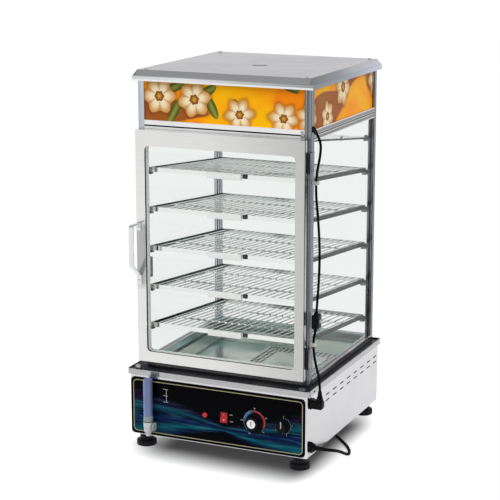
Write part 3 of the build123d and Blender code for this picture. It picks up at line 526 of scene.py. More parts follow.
def make_groups():
    """Grain and smudges, the two effects that most finishes share."""
    given, result = new_group("grain", {"Scale": 300.0}, ("Tone", "Height"))
    fine = noise(given["Vector"], given["Scale"], 6.0)
    feed(result["Tone"], ranged(fine, 0.3, 0.7))
    feed(result["Height"], fine)
    given, result = new_group("smudges", {"Scale": 9.0, "Least": 0.2, "Most": 0.3}, ("Roughness", "Mask"))
    mask = ranged(noise(given["Vector"], given["Scale"], 3.0, 0.6), 0.35, 0.65, smooth=True)
    feed(result["Roughness"], ranged(mask, 0.0, 1.0, given["Least"], given["Most"]))
    feed(result["Mask"], mask)


def shared(name, where, **values):
    """Outputs of a shared effect, placed with values of its own."""
    node = node_for([where], "ShaderNodeGroup")
    node.node_tree = bpy.data.node_groups[name]
    feed(node.inputs["Vector"], where)
    for label, value in values.items():
        node.inputs[label].default_value = value
    return [Value(output) for output in node.outputs]


def blank(name, **sockets):
    """Material with its shader's plain sockets set, the shader's inputs and the object coordinates."""
    material = bpy.data.materials.new(name)
    material.use_nodes = True
    inputs = material.node_tree.nodes["Principled BSDF"].inputs
    for label, value in sockets.items():
        inputs[label.replace("_", " ")].default_value = value
    where = Value(material.node_tree.nodes.new("ShaderNodeTexCoord").outputs["Object"])
    return material, inputs, where


def relief(inputs, height, depth):
    """Small bumps from a height."""
    node = node_for([height], "ShaderNodeBump")
    node.inputs["Strength"].default_value = 0.6
    node.inputs["Distance"].default_value = depth
    feed(node.inputs["Height"], height)
    feed(inputs["Normal"], Value(node.outputs[0]))


def ray(where, kind):
    """One for rays of a kind, in the tree of a value."""
    return Value(node_for([where], "ShaderNodeLightPath").outputs[f"Is {kind} Ray"])


def seen_rays(where):
    """One for rays that show the background directly, in metal or through glass."""
    near = calc("MAXIMUM", ray(where, "Camera"), ray(where, "Glossy"))
    return calc("MAXIMUM", near, ray(where, "Transmission"))


def mixed_at_end(tree, factor, first, second, end):
    """Mixes two shaders by a factor and links them to a tree's output."""
    mixer = tree.nodes.new("ShaderNodeMixShader")
    feed(mixer.inputs[0], factor)
    tree.links.new(first.outputs[0], mixer.inputs[1])
    tree.links.new(second.outputs[0], mixer.inputs[2])
    tree.links.new(mixer.outputs[0], tree.nodes[end].inputs["Surface"])


def surface(name, colour, rough, vary, grain, stretch=(1, 1, 1), depth=0.00002, tint=None, **sockets):
    """Finish with a grain in tone and relief, smudges in its gloss and a tint by place, which several
    finishes use for painted light and shade.
    """
    material, inputs, where = blank(name, **sockets)
    fine, height = shared("grain", stretched(where, stretch), Scale=grain)
    dark = [channel * (1 - vary) for channel in colour[:3]] + [1]
    light = [min(1.0, channel * (1 + vary * 0.6)) for channel in colour[:3]] + [1]
    tone = blended(fine, dark, light)
    feed(inputs["Base Color"], tint(where, tone) if tint else tone)
    feed(inputs["Roughness"], shared("smudges", where, Scale=9.0, Least=rough[0], Most=rough[1])[0])
    relief(inputs, height, depth)
    return material


def post_painted_light(where, tone):
    """Painted light on the extruded posts, across both outer faces: shaded grooves, edge highlights and
    reflection stripes, different for each post.
    """
    low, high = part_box("post_front_right")
    middle, wide = (low.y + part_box("post_rear_right")[1].y) / 2, high.x - low.x
    x, y, z = axes_of(where)
    side = abs(x) - low.x
    face = abs(y - middle) - (middle - high.y)
    across = abs((side + face - wide) / wide)
    # Painted highlights, reflection stripes and groove shade, one pattern for each post
    right = ramp(across, (0.0, 0.16), (0.10, 0.10), (0.16, 0.62), (0.26, 0.30), (0.46, 0.17), (0.62, 0.30),
                 (0.80, 0.48), (0.90, 0.24), (0.96, 0.95), (1.0, 0.8))
    rear_left = ramp(across, (0.0, 0.12), (0.10, 0.12), (0.15, 1.0), (0.38, 1.0), (0.44, 0.07), (0.60, 0.07),
                     (0.66, 0.85), (0.84, 0.85), (0.88, 0.10), (0.95, 0.10), (1.0, 0.9))
    front_left = ramp(across, (0.0, 0.74), (0.08, 0.60), (0.15, 0.95), (0.5, 0.84), (0.88, 0.78), (1.0, 0.88))
    left = blended(y < middle, rear_left, front_left)
    return scaled(tone, blended(x < 0.0, right, left))


def rail_painted_light(where, tone):
    """Painted light on the rails: bright in front with a shaded groove, dark with thin highlight lines on the
    sides, pale inside the chamber.
    """
    low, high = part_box("header_rails")
    foot_low, foot_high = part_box("foot_rails")
    side_width, inner_x = 0.0150, high.x - 0.0145
    x, y, z = axes_of(where)
    up = ranged(z, low.z, high.z)
    # Painted highlight and shade: light and dark bands across the faces of the rails
    sides = ramp(up, (0.0, 0.75), (0.09, 0.75), (0.13, 0.16), (0.36, 0.26), (0.43, 0.85), (0.46, 0.03),
                 (0.54, 0.03), (0.58, 0.55), (0.66, 0.20), (0.88, 0.30), (0.93, 0.85), (1.0, 0.6))
    front = ramp(up, (0.0, 0.9), (0.42, 0.95), (0.44, 0.03), (0.56, 0.03), (0.58, 0.95), (1.0, 0.9))
    header = blended(abs(x) > high.x - side_width, front, sides)
    feet = ramp(ranged(z, foot_low.z, foot_high.z), (0.0, 0.10), (0.12, 0.12), (0.2, 0.7), (0.4, 0.35),
                (0.55, 0.75), (1.0, 0.55))
    inner = (abs(x) < inner_x) * (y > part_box("post_front_right")[1].y - SKIN)
    feet = blended(inner, feet, (0.62, 0.78, 0.76, 1))
    return scaled(tone, blended(z > low.z - 0.01, feet, header))


def door_painted_light(where, tone):
    """Painted light: fall of light to the right and the top, the handle's shade and dark lines of shade along
    the right side.
    """
    x, y, z = axes_of(where)
    low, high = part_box("door_handle")
    beside = ranged(x, high.x + 0.022, high.x + 0.006)
    behind = ramp(ranged(z, low.z - 0.01, high.z), (0.0, 0.0), (0.12, 1.0), (0.96, 1.0), (1.0, 0.0))
    low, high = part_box("door_frame")
    # Painted shade: dark lines along the door's right side
    lines = ramp(ranged(y, low.y, high.y), (0.0, 0.30), (0.20, 0.30), (0.27, 1.0), (0.45, 1.0), (0.52, 0.26),
                 (1.0, 0.20))
    tone = blended(x > high.x - SKIN, tone, scaled(tone, lines))
    level = ramp(ranged(x, -0.20, 0.20), (0.0, 1.0), (0.45, 0.97), (0.8, 0.80), (1.0, 0.70))
    top = ramp(ranged(z, 0.60, 0.74), (0.0, 1.0), (1.0, 0.96))
    return scaled(scaled(scaled(tone, level), top), 1.0 - beside * behind * 0.42)


def cap_painted_light(where, tone):
    """Painted light on the lid: a front flange with painted shade to the right, and painted blue-grey
    reflections on the bevels and flanges along both sides.
    """
    low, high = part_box("top_cap")
    bevel_width, hem = 0.0088, 0.0042
    x, y, z = axes_of(where)
    behind_front = ranged(y, low.y + 0.0005, low.y + 0.0012)
    # Painted shade: the front flange darkens to the right
    along = ramp(ranged(x, low.x, high.x), (0.0, 0.80), (0.3, 1.0), (0.6, 0.72), (1.0, 0.44))
    flange = blended(z < low.z + hem, scaled((0.74, 0.76, 0.76, 1), along), (0.80, 0.81, 0.80, 1))
    tone = blended(behind_front, flange, tone)
    # Painted reflection: blue-grey bevels and side flanges, darker towards the front
    run = ranged(y, low.y, high.y)
    bevel_reflection = scaled((0.90, 0.93, 1.0, 1), ramp(run, (0.0, 0.34), (0.35, 0.46), (0.6, 0.70), (1.0, 0.84)))
    fall = ramp(run, (0.0, 0.34), (0.35, 0.42), (0.6, 0.56), (0.8, 0.74), (1.0, 0.88))
    edge = blended(abs(x) > high.x - SKIN, bevel_reflection, scaled((0.70, 0.76, 0.86, 1), fall))
    return blended((abs(x) > high.x - bevel_width) * behind_front, tone, edge)


def pan_painted_light(where, tone):
    """Chamber floor with painted light that brightens to the right, and painted shade under the cover."""
    low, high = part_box("steam_cover")
    middle, half, lap = (low + high) / 2, (high - low) / 2, 0.002
    x, y, z = axes_of(where)
    # Painted light: brighter to the right
    light = scaled(tone, ramp(ranged(x, -0.20, 0.20), (0.0, 0.95), (0.5, 0.90), (1.0, 1.0)))
    # Painted shade under the steam cover
    under = (abs(x - middle.x) < half.x - lap) * (abs(y - middle.y) < half.y - lap)
    return blended(under, light, (0.02, 0.022, 0.02, 1))


def cover_painted_shade(where, tone):
    """Painted shade on the steam cover: dark spots at the rows of small holes, along the rims and in the
    rings on the lid.
    """
    low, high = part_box("steam_cover")
    middle, half = (low + high) / 2, (high - low) / 2
    row_pitch, hole_pitch, margin, hole = 0.011, 0.012, 0.009, 0.0045
    x, y, z = axes_of(where)
    in_x = half.x - abs(x - middle.x)
    in_y = half.y - abs(y - middle.y)
    row = (calc("MINIMUM", in_x, in_y) - margin) / row_pitch
    ends = in_y < in_x
    spot = (x - (low.x + 0.038)) / hole_pitch * ends + (y - (low.y + margin)) / hole_pitch * (1.0 - ends)
    across = (row - calc("ROUND", row)) * row_pitch
    along = (spot - calc("ROUND", spot)) * hole_pitch
    holes = (reach(across, along) < hole) * (row > -0.5) * (row < 2.5)
    rim = z < high.z - 0.0012
    low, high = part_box("filler_lid")
    middle = (low + high) / 2
    out = reach(x - middle.x, y - middle.y)
    rings = calc("PINGPONG", out, 0.0035) < 0.0008
    lid = out < (high.x - low.x) / 2 + 0.001
    # Painted shade in the holes, along the rim and in the lid's rings
    on_cover = calc("MAXIMUM", holes, rim * 0.9) * (1.0 - lid)
    dark = calc("MAXIMUM", on_cover, rings * lid * 0.55)
    return blended(dark, tone, (0.010, 0.016, 0.014, 1))


def edge_tint(where, tone):
    """Dark sawn edge of the drip plate."""
    x, y, z = axes_of(where)
    return blended(abs(x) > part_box("drip_plate")[1].x - 0.0008, tone, (0.10, 0.12, 0.11, 1))


def shelf_painted_light(where, tone):
    """Painted dark shade on the side bands and a painted highlight on the front band."""
    low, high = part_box("shelf_3")
    x, y, z = axes_of(where)
    # Painted shade on the side bands, then a painted highlight on the front band
    dark = blended(abs(x) > high.x - 0.0027, tone, (0.026, 0.040, 0.036, 1))
    return blended(y < low.y + 0.0032, dark, (0.92, 0.93, 0.92, 1))


def mat_tint(where, tone):
    """Paler grey where the mat shows inside the chamber."""
    chamber_x = 0.1975
    x, y, z = axes_of(where)
    inside = (abs(x) < chamber_x) * (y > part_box("post_front_right")[1].y + 0.0015)
    return blended(inside, tone, (0.24, 0.31, 0.30, 1))


def gasket_painted_light(where, tone):
    """Painted shade and light on one rubber: a black lip behind the pane and a pale profile further back."""
    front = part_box("door_gasket")[0].y
    x, y, z = axes_of(where)
    # Painted shade at the lip, painted light on the profile behind it
    return blended(ranged(y, front + 0.0036, front + 0.0044), tone, (0.90, 0.92, 0.90, 1))


def hinge_tint(where, tone):
    """Black knuckles round the hinge axis on pale leaves."""
    axis_x, knuckle, leaf_front = 0.208, 0.0043, -0.1985
    x, y, z = axes_of(where)
    return blended((abs(x - axis_x) < knuckle) * (y < leaf_front), (0.26, 0.28, 0.31, 1), tone)


def clear(name, colour, ior, rough=(0.0, 0.012), tint=None):
    """Glass or acrylic that lets the light through to what stands behind it."""
    material, inputs, where = blank(name, Base_Color=(*colour, 1), IOR=ior, Transmission_Weight=1.0)
    if tint:
        feed(inputs["Base Color"], tint(where, (*colour, 1)))
    feed(inputs["Roughness"], shared("smudges", where, Scale=5.0, Least=rough[0], Most=rough[1])[0])
    tree = material.node_tree
    passing = tree.nodes.new("ShaderNodeBsdfTransparent")
    passing.inputs["Color"].default_value = (*colour, 1)
    mixed_at_end(tree, ray(where, "Shadow"), tree.nodes["Principled BSDF"], passing, "Material Output")
    return material


def milky(name, colour):
    """Clouded blue acrylic that lets a little through, with painted highlight and shade across the tube."""
    material, inputs, where = blank(name, IOR=1.35, Transmission_Weight=0.25, Specular_IOR_Level=0.3)
    low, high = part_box("sight_tube")
    x, y, z = axes_of(where)
    # Painted highlight near the left edge and painted shade at the right edge, across the tube
    tube_painted_light = ramp(ranged(x, low.x, high.x), (0.0, 0.55), (0.18, 0.95), (0.35, 0.72), (0.62, 0.60), (0.85, 0.75),
                (1.0, 0.42))
    rough, cloud = shared("smudges", where, Scale=26.0, Least=0.16, Most=0.26)
    tone = blended(cloud * 0.25, (*colour, 1), (0.50, 0.46, 0.80, 1))
    feed(inputs["Base Color"], scaled(tone, tube_painted_light))
    feed(inputs["Roughness"], rough)
    return material


def cells(flat, scale, randomness):
    """Distance, offset and three random numbers of scattered cells."""
    grown = stretched(flat, (scale, scale, scale))
    spots = node_for([flat], "ShaderNodeTexVoronoi")
    spots.voronoi_dimensions = "2D"
    feed(spots.inputs["Vector"], grown)
    spots.inputs["Scale"].default_value = 1.0
    spots.inputs["Randomness"].default_value = randomness
    u, v, w = axes_of(grown)
    spot_u, spot_v, spot_w = axes_of(Value(spots.outputs["Position"]))
    chance = node_for([flat], "ShaderNodeSeparateColor")
    feed(chance.inputs[0], Value(spots.outputs["Color"]))
    numbers = [Value(output) for output in chance.outputs]
    return Value(spots.outputs["Distance"]), u - spot_u, v - spot_v, numbers


def blossoms(flat):
    """Flowers of six petals: their colour, where they show and their shade on the ground."""
    away, u, v, chance = cells(flat, 10.5, 0.62)
    petals = 6.0
    lobes = calc("COSINE", (calc("ARCTAN2", v, u) + chance[2] * (2 * pi)) * petals)
    inside = away / (lobes * 0.045 + (chance[1] * 0.10 + 0.31))
    petal = blended(ranged(inside, 0.45, 1.0, smooth=True), colours().petal[:], (0.60, 0.30, 0.08, 1))
    petal = blended(ranged(lobes, -1.0, -0.60, 0.55, 0.0), petal, (0.42, 0.16, 0.04, 1))
    heart = blended(ranged(inside, 0.0, 0.26), (0.75, 0.38, 0.04, 1), (0.16, 0.03, 0.01, 1))
    petal = blended(ranged(inside, 0.34, 0.27, smooth=True), petal, heart)
    grown = chance[0] > 0.38
    shade = ranged(inside, 1.35, 0.95, 0.0, 0.55, smooth=True) * grown
    return petal, ranged(inside, 1.02, 0.98) * grown, shade


def leaves(flat):
    """Oval leaves with a pale rib: their colour and where they show."""
    away, u, v, chance = cells(flat, 15.0, 0.9)
    angle = chance[2] * (2 * pi)
    sine, cosine = calc("SINE", angle), calc("COSINE", angle)
    width = v * cosine - u * sine
    long, wide = (u * cosine + v * sine) / 0.44, width / 0.16
    blade = blended(ranged(abs(width), 0.02, 0.10), (0.24, 0.26, 0.05, 1), colours().leaf[:])
    return blade, ranged(long * long + wide * wide, 1.04, 0.96) * (chance[0] > 0.60)


def sign_finish():
    """Printed acrylic with a painted glow: a warm ground with a plum drift, large blossoms and leaves."""
    tones = colours()
    # Painted glow: the print gives off light in its own colours though it is no lamp
    material, inputs, where = blank("sign_print", Roughness=0.35, Specular_IOR_Level=0.06,
                                    Emission_Strength=0.42)
    x, y, z = axes_of(where)
    flat = flattened(x + y, z)
    ground = blended(ranged(noise(flat, 7.0, 2.0, 0.8), 0.35, 0.62), tones.sign_low[:], tones.sign_high[:])
    plum = ranged(noise(stretched(flat, (0.7, 1.5, 1)), 7.0, 0.0, 0.5), 0.55, 0.60, smooth=True)
    ground = blended(plum * 0.85, ground, tones.plum[:])
    petal, shown, shade = blossoms(flat)
    blade, leafy = leaves(flat)
    picture = blended(leafy, ground, blade)
    picture = blended(shade, picture, (0.16, 0.04, 0.01, 1))
    picture = blended(shown, picture, petal)
    feed(inputs["Base Color"], picture)
    feed(inputs["Emission Color"], picture)
    return material


def panel_finish():
    """Deep black print with a pale inset line and ribbons of light that run together."""
    material, inputs, where = blank("panel_print", Specular_IOR_Level=0.03)
    low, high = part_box("control_panel")
    half = (high - low) / 2
    x, y, z = axes_of(where)
    z = z - (low.z + high.z) / 2
    spread = ranged(abs(x - 0.02), 0.0, 0.22, 0.10, 1.0)
    wave = calc("SINE", x * 16.0) * 0.006
    lane = (z + wave + 0.026) / spread
    picture = blended(ranged(z, -0.067, 0.067), (0.0012, 0.0018, 0.004, 1), (0.0006, 0.0006, 0.0008, 1))
    bands = ((-0.030, 0.022, colours().ribbon[:], 1.0), (-0.002, 0.026, (0.004, 0.018, 0.09, 1), 0.9),
             (0.030, 0.017, (0.006, 0.085, 0.14, 1), 0.9), (0.050, 0.018, (0.016, 0.008, 0.05, 1), 0.7),
             (-0.052, 0.014, (0.004, 0.012, 0.07, 1), 0.8))
    for centre, wide, tone, strength in bands:
        picture = blended(ranged(abs(lane - centre), wide, 0.0, 0.0, strength, smooth=True), picture, tone)
    streak = ranged(noise(stretched(flattened(x, z), (2.0, 30.0, 1)), 6.0, 2.0, 0.3), 0.50, 0.80)
    picture = blended(streak * 0.30 * ranged(abs(lane), 0.075, 0.03), picture, (0.10, 0.42, 0.55, 1))

    inset, corner, line = 0.0065, 0.009, 0.0007
    past_x = calc("MAXIMUM", abs(x) - (half.x - inset - corner), 0.0)
    past_z = calc("MAXIMUM", abs(z) - (half.z - inset - corner), 0.0)
    edge = reach(past_x, past_z) - corner
    picture = blended(ranged(edge, -0.0002, 0.0004), picture, (0.0015, 0.0015, 0.002, 1))
    picture = blended(ranged(abs(edge), line + 0.0003, line), picture, (0.55, 0.52, 0.32, 1))
    feed(inputs["Base Color"], picture)
    feed(inputs["Roughness"], shared("smudges", where, Scale=12.0, Least=0.20, Most=0.30)[0])
    return material


def dial_finish():
    """Black dial with graduations, a blue start and a red end."""
    material, inputs, where = blank("dial_print", Roughness=0.32, Specular_IOR_Level=0.04)
    x, y, z = axes_of(where)
    u, v = x - HEAT_X, z - CONTROL_Z
    away = reach(u, v)
    angle = calc("ARCTAN2", u, v) / (2 * pi)
    fine, height = shared("grain", where, Scale=600.0)
    cold = ranged(angle, -0.30, -0.20) * ranged(angle, -0.02, -0.08)
    hot = ranged(angle, -0.03, -0.01) * ranged(angle, 0.34, 0.32)
    arc = ranged(away, 0.0222, 0.0225) * ranged(away, 0.0252, 0.0249)
    steps = angle * 48.0
    line = ranged(abs(steps - calc("ROUND", steps)), 0.14, 0.10) * ranged(away, 0.0250, 0.0252)
    picture = blended(fine, (0.002, 0.002, 0.003, 1), (0.004, 0.004, 0.006, 1))
    picture = blended(cold * 0.8, picture, (0.10, 0.30, 0.60, 1))
    picture = blended(hot * arc, picture, (0.75, 0.03, 0.03, 1))
    picture = blended(line * (abs(angle) < 0.39), picture, (0.70, 0.70, 0.68, 1))
    feed(inputs["Base Color"], picture)
    relief(inputs, height, 0.000005)
    return material


def metal_finishes():
    """Sheets, profiles and wires, each with its grain along the way it was rolled or drawn."""
    tones = colours()
    level, upright, wide = (0.03, 0.03, 1), (1, 1, 0.03), (0.03, 1, 1)
    return {
        "stainless": surface("satin_stainless", (0.655, 0.655, 0.68), (0.14, 0.22), 0.04, 900, level,
                             0.000005, Metallic=1.0),
        "door_steel": surface("door_stainless", tones.steel, (0.14, 0.22), 0.04, 900, level,
                              0.000005, door_painted_light, Metallic=1.0),
        # Darker copy of the stainless for the rim: painted shade for the rim's darker reflection
        "rim_steel_shaded": surface("rim_stainless_shaded", (0.46, 0.46, 0.46), (0.16, 0.26), 0.10, 700, (0.03, 0.03, 0.4),
                             0.00001, Metallic=1.0),
        "cap_steel": surface("lid_steel", tones.cap, (0.14, 0.18), 0.03, 900, wide,
                             0.000001, cap_painted_light, Metallic=1.0, Specular_Tint=(0.75, 0.75, 0.76, 1)),
        "post_aluminium": surface("post_aluminium", tones.post, (0.18, 0.26), 0.08, 900, upright,
                                  0.000005, post_painted_light, Metallic=1.0),
        "rail_aluminium": surface("rail_aluminium", (0.87, 0.87, 0.88), (0.16, 0.26), 0.06, 900, level,
                                  0.000005, rail_painted_light, Metallic=1.0),
        "polished_steel": surface("polished_steel", (0.72, 0.79, 0.74), (0.12, 0.22), 0.06, 60,
                                  depth=0.000004, tint=pan_painted_light, Metallic=1.0),
        "cover_steel": surface("cover_steel", (0.58, 0.63, 0.59), (0.14, 0.24), 0.06, 200,
                               depth=0.000005, tint=cover_painted_shade, Metallic=1.0),
        "grey_metal": surface("grey_metal", (0.16, 0.19, 0.19), (0.25, 0.36), 0.08, 300,
                              depth=0.00001, Metallic=0.8),
        "chrome": surface("bright_chrome", (0.74, 0.75, 0.76), (0.05, 0.14), 0.04, 200,
                          depth=0.000005, Metallic=1.0),
        "shelf_chrome": surface("shelf_chrome", (0.70, 0.72, 0.71), (0.08, 0.16), 0.04, 200,
                                depth=0.000005, tint=shelf_painted_light, Metallic=1.0,
                                Specular_Tint=(0.6, 0.62, 0.61, 1)),
        "zinc": surface("zinc_sheet", (0.47, 0.48, 0.49), (0.30, 0.45), 0.14, 60, Metallic=1.0),
        "dark_steel": surface("dark_steel", (0.030, 0.032, 0.036), (0.30, 0.45), 0.2, 500,
                              depth=0.00001, Metallic=0.4),
        "hinge_steel": surface("hinge_steel", (0.012, 0.012, 0.014), (0.28, 0.40), 0.2, 500,
                               depth=0.00001, tint=hinge_tint, Metallic=0.8),
        "tap_metal": surface("tap_satin", (0.62, 0.66, 0.66), (0.22, 0.32), 0.05, 400,
                             depth=0.00001, Metallic=0.35),
    }


def soft_finishes():
    """Rubbers, plastics and lamp glass."""
    return {
        "black_rubber": surface("black_rubber", (0.006, 0.006, 0.009), (0.42, 0.62), 0.25, 700,
                                depth=0.00004, Specular_IOR_Level=0.18),
        "mat_rubber": surface("mat_rubber", (0.008, 0.009, 0.018), (0.30, 0.42), 0.25, 500,
                              depth=0.00004, tint=mat_tint, Specular_IOR_Level=0.25),
        "grey_rubber": surface("grey_rubber", (0.012, 0.016, 0.015), (0.45, 0.60), 0.2, 700,
                               depth=0.00003, tint=gasket_painted_light, Specular_IOR_Level=0.2),
        "black_plastic": surface("black_plastic", (0.004, 0.004, 0.005), (0.24, 0.36), 0.2, 900,
                                 Specular_IOR_Level=0.09),
        "white_plastic": surface("white_plastic", (0.86, 0.86, 0.84), (0.28, 0.40), 0.03, 600),
        "white_print": surface("white_print", (0.78, 0.78, 0.76), (0.35, 0.45), 0.05, 900, depth=0.000005),
        "red_plastic": surface("red_plastic", (0.62, 0.010, 0.018), (0.16, 0.28), 0.12, 500,
                               depth=0.00001, Specular_IOR_Level=0.3),
        "red_lens": surface("red_lens", (0.50, 0.01, 0.016), (0.08, 0.16), 0.2, 500,
                            Emission_Color=(0.9, 0.03, 0.03, 1), Emission_Strength=0.12),
        "clear_plastic": surface("clear_plastic", (0.30, 0.36, 0.36), (0.10, 0.20), 0.08, 300,
                                 depth=0.00001, Coat_Weight=0.4),
        "lamp_white": surface("lamp_white", (0.88, 0.88, 0.85), (0.2, 0.3), 0.03, 100),
        "cord": surface("cord_pvc", (0.005, 0.005, 0.006), (0.48, 0.60), 0.25, 500,
                        depth=0.00003, Specular_IOR_Level=0.04),
    }


def clear_and_printed_finishes():
    """Panes, clouded acrylic and the three prints."""
    return {
        "window_glass": clear("window_glass", (0.918, 0.932, 0.927), 1.11),
        "drip_acrylic": clear("drip_acrylic", (0.90, 0.91, 0.90), 1.30, (0.08, 0.16), edge_tint),
        "tube_acrylic": milky("tube_acrylic", (0.42, 0.58, 1.0)),
        "water": milky("level_water", colours().water[:3]),
        "sign_print": sign_finish(),
        "panel_print": panel_finish(),
        "dial_print": dial_finish(),
    }


# Finishes by name, and the solids that show each of them

FINISHES = {}

NODE_FINISH = {
    "stainless": ("base_shell",),
    "rim_steel_shaded": ("rim_tray",),
    "door_steel": ("door_frame",),
    "cap_steel": ("top_cap",),
    "zinc": ("base_floor", "header_frame"),
    "polished_steel": ("floor_pan", "water_tank", "heating_element"),
    "cover_steel": ("steam_cover", "filler_lid"),
    "shelf_chrome": ("shelf_1", "shelf_2", "shelf_3", "shelf_4", "shelf_5"),
    "post_aluminium": ("post_front_left", "post_front_right", "post_rear_left", "post_rear_right"),
    "rail_aluminium": ("foot_rails", "header_rails"),
    "window_glass": ("glass_panes", "door_glass"),
    "sign_print": ("sign_panels",),
    "panel_print": ("control_panel",),
    "drip_acrylic": ("drip_plate",),
    "lamp_white": ("lamp_tube",),
    "white_plastic": ("lamp_holders", "lead_clips"),
    "black_rubber": ("lead_grommet",),
    "mat_rubber": ("rim_gasket",),
    "grey_rubber": ("door_gasket",),
    "grey_metal": ("post_brackets", "door_catch"),
    "hinge_steel": ("hinge_frame_leaves", "hinge_door_leaves"),
    "black_plastic": ("thermostat_body", "selector_body", "side_socket"),
}


# Steps of the build, one operator for each


def beyond(value, first, last, run_before, run_after):
    """How far a value lies outside a span, with a run of its own on each side."""
    return calc("MINIMUM", value - first, 0.0) / -run_before + calc("MAXIMUM", value - last, 0.0) / run_after


def floor_finish():
    """White paper with a painted shadow round the base, fading into the bright background."""
    material, inputs, where = blank("floor_paper", Roughness=0.9, Specular_IOR_Level=0.05,
                                    Emission_Color=(1, 1, 1, 1))
    x, y, z = axes_of(where)
    low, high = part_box("base_shell")
    aside = beyond(x, low.x + 0.0975, high.x - 0.0275, 0.15, 0.08)
    ahead = beyond(x * 0.06 + y, low.y + 0.028, high.y - 0.137, 0.148, 0.15)
    away = reach(aside, ahead)
    # Painted shadow: the paper's colour and its glow fall off towards the base
    near = ranged(away, 0.0, 1.0, 0.05, 1.0, smooth=True)
    far = ranged(away, 1.5, 4.5, smooth=True)
    paper = blended(near, (0.05, 0.05, 0.05, 1), (0.80, 0.80, 0.80, 1))
    feed(inputs["Base Color"], blended(far, paper, (0, 0, 0, 1)))
    mirrored = ray(where, "Glossy")
    close = calc("MAXIMUM", near * 0.70, mirrored * 0.44)
    close = calc("MINIMUM", close, 0.70 - mirrored * 0.26)
    feed(inputs["Emission Strength"], seen_rays(where) * (close * (1.0 - far) + far))
    return material


class CABINET_OT_stage(bpy.types.Operator):
    """Camera, floor, world and lamps"""

    bl_idname = "cabinet.stage"
    bl_label = "Stage"

    def execute(self, context):
        scene = context.scene
        scene.camera = self.camera()
        bpy.ops.object.select_all(action="DESELECT")
        bpy.ops.mesh.primitive_plane_add(size=120, location=(0, 0, 0))
        floor = context.object
        floor.name = "floor"
        floor.data.materials.append(floor_finish())
        scene.world = self.world()
        self.lamp("key", (-1.9, -2.7, 3.1), 2.4, 46.0)
        self.lamp("fill", (2.9, -1.6, 2.2), 2.0, 16.0)
        self.lamp("back", (0.9, 2.4, 3.2), 2.2, 22.0)
        scene.view_settings.view_transform = "Standard"
        return {"FINISHED"}

    @staticmethod
    def camera():
        """Camera of the photograph, as solved from the cabinet's corners."""
        data = bpy.data.cameras.new("camera")
        data.lens = sizes().lens
        data.sensor_width = 36
        data.clip_end = 200
        camera = bpy.data.objects.new("camera", data)
        camera.location = (1.4466, -3.2845, 1.2637)
        camera.rotation_euler = (radians(90 - 13.011), 0, radians(24.025))
        bpy.context.scene.collection.objects.link(camera)
        return camera

    @staticmethod
    def world():
        """White studio: even light for the finishes, and a ceiling with a dark band that metal mirrors."""
        world = bpy.data.worlds.new("studio")
        world.use_nodes = True
        tree = world.node_tree
        plain = tree.nodes["Background"]
        plain.inputs["Strength"].default_value = 0.62
        shown = tree.nodes.new("ShaderNodeBackground")
        for background in (plain, shown):
            background.inputs["Color"].default_value = (1, 1, 1, 1)
        where = Value(tree.nodes.new("ShaderNodeTexCoord").outputs["Generated"])
        x, y, z = axes_of(where)
        ceiling = ramp(z, (0.0, 1.0), (0.22, 1.0), (0.38, 0.21), (0.55, 0.50), (1.0, 0.72))
        feed(shown.inputs["Strength"], (ceiling - 1.0) * ray(where, "Glossy") + 1.0)
        mixed_at_end(tree, seen_rays(where), plain, shown, "World Output")
        return world

    @staticmethod
    def lamp(name, location, size, power):
        """Square lamp that looks at the middle of the cabinet and leaves no mirror image."""
        data = bpy.data.lights.new(name, "AREA")
        data.size = size
        data.energy = power
        lamp = bpy.data.objects.new(name, data)
        lamp.location = location
        lamp.rotation_euler = (Vector((0, 0, 0.42)) - lamp.location).to_track_quat("-Z", "Y").to_euler()
        lamp.visible_glossy = False
        bpy.context.scene.collection.objects.link(lamp)


class CABINET_OT_finishes(bpy.types.Operator):
    """Finishes of the sheets, rails, posts, panes and shelves"""

    bl_idname = "cabinet.finishes"
    bl_label = "Finishes"

    def execute(self, context):
        make_groups()
        FINISHES.update(metal_finishes())
        FINISHES.update(soft_finishes())
        FINISHES.update(clear_and_printed_finishes())
        for finish, nodes in NODE_FINISH.items():
            for node in nodes:
                dress(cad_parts[node], finish)
        return {"FINISHED"}


def eased(value):
    """Soft step from nought to one."""
    value = min(1.0, max(0.0, value))
    return value * value * (3 - 2 * value)


def coil_points(turns):
    """Turns of the spare cord: inwards on the floor, then outwards on top, and down at the end."""
    per_turn, widest, step, swap = 14, 0.0430, 0.0074, 2.5
    climb_at, climb_for, fall_at, fall_for = 2.25, 0.45, 5.25, 0.40
    on_floor, on_top = 0.0039, 0.01125
    points = []
    for index in range(int(turns * per_turn) + 1):
        turn = index / per_turn
        radius = widest - step * swap + step * abs(turn - swap)
        lift = eased((turn - climb_at) / climb_for) * (1 - eased((turn - fall_at) / fall_for))
        angle = 2 * pi * turn
        points.append((COIL_CENTRE.x + radius * cos(angle), COIL_CENTRE.y + radius * sin(angle),
                       on_floor + (on_top - on_floor) * lift))
    return points


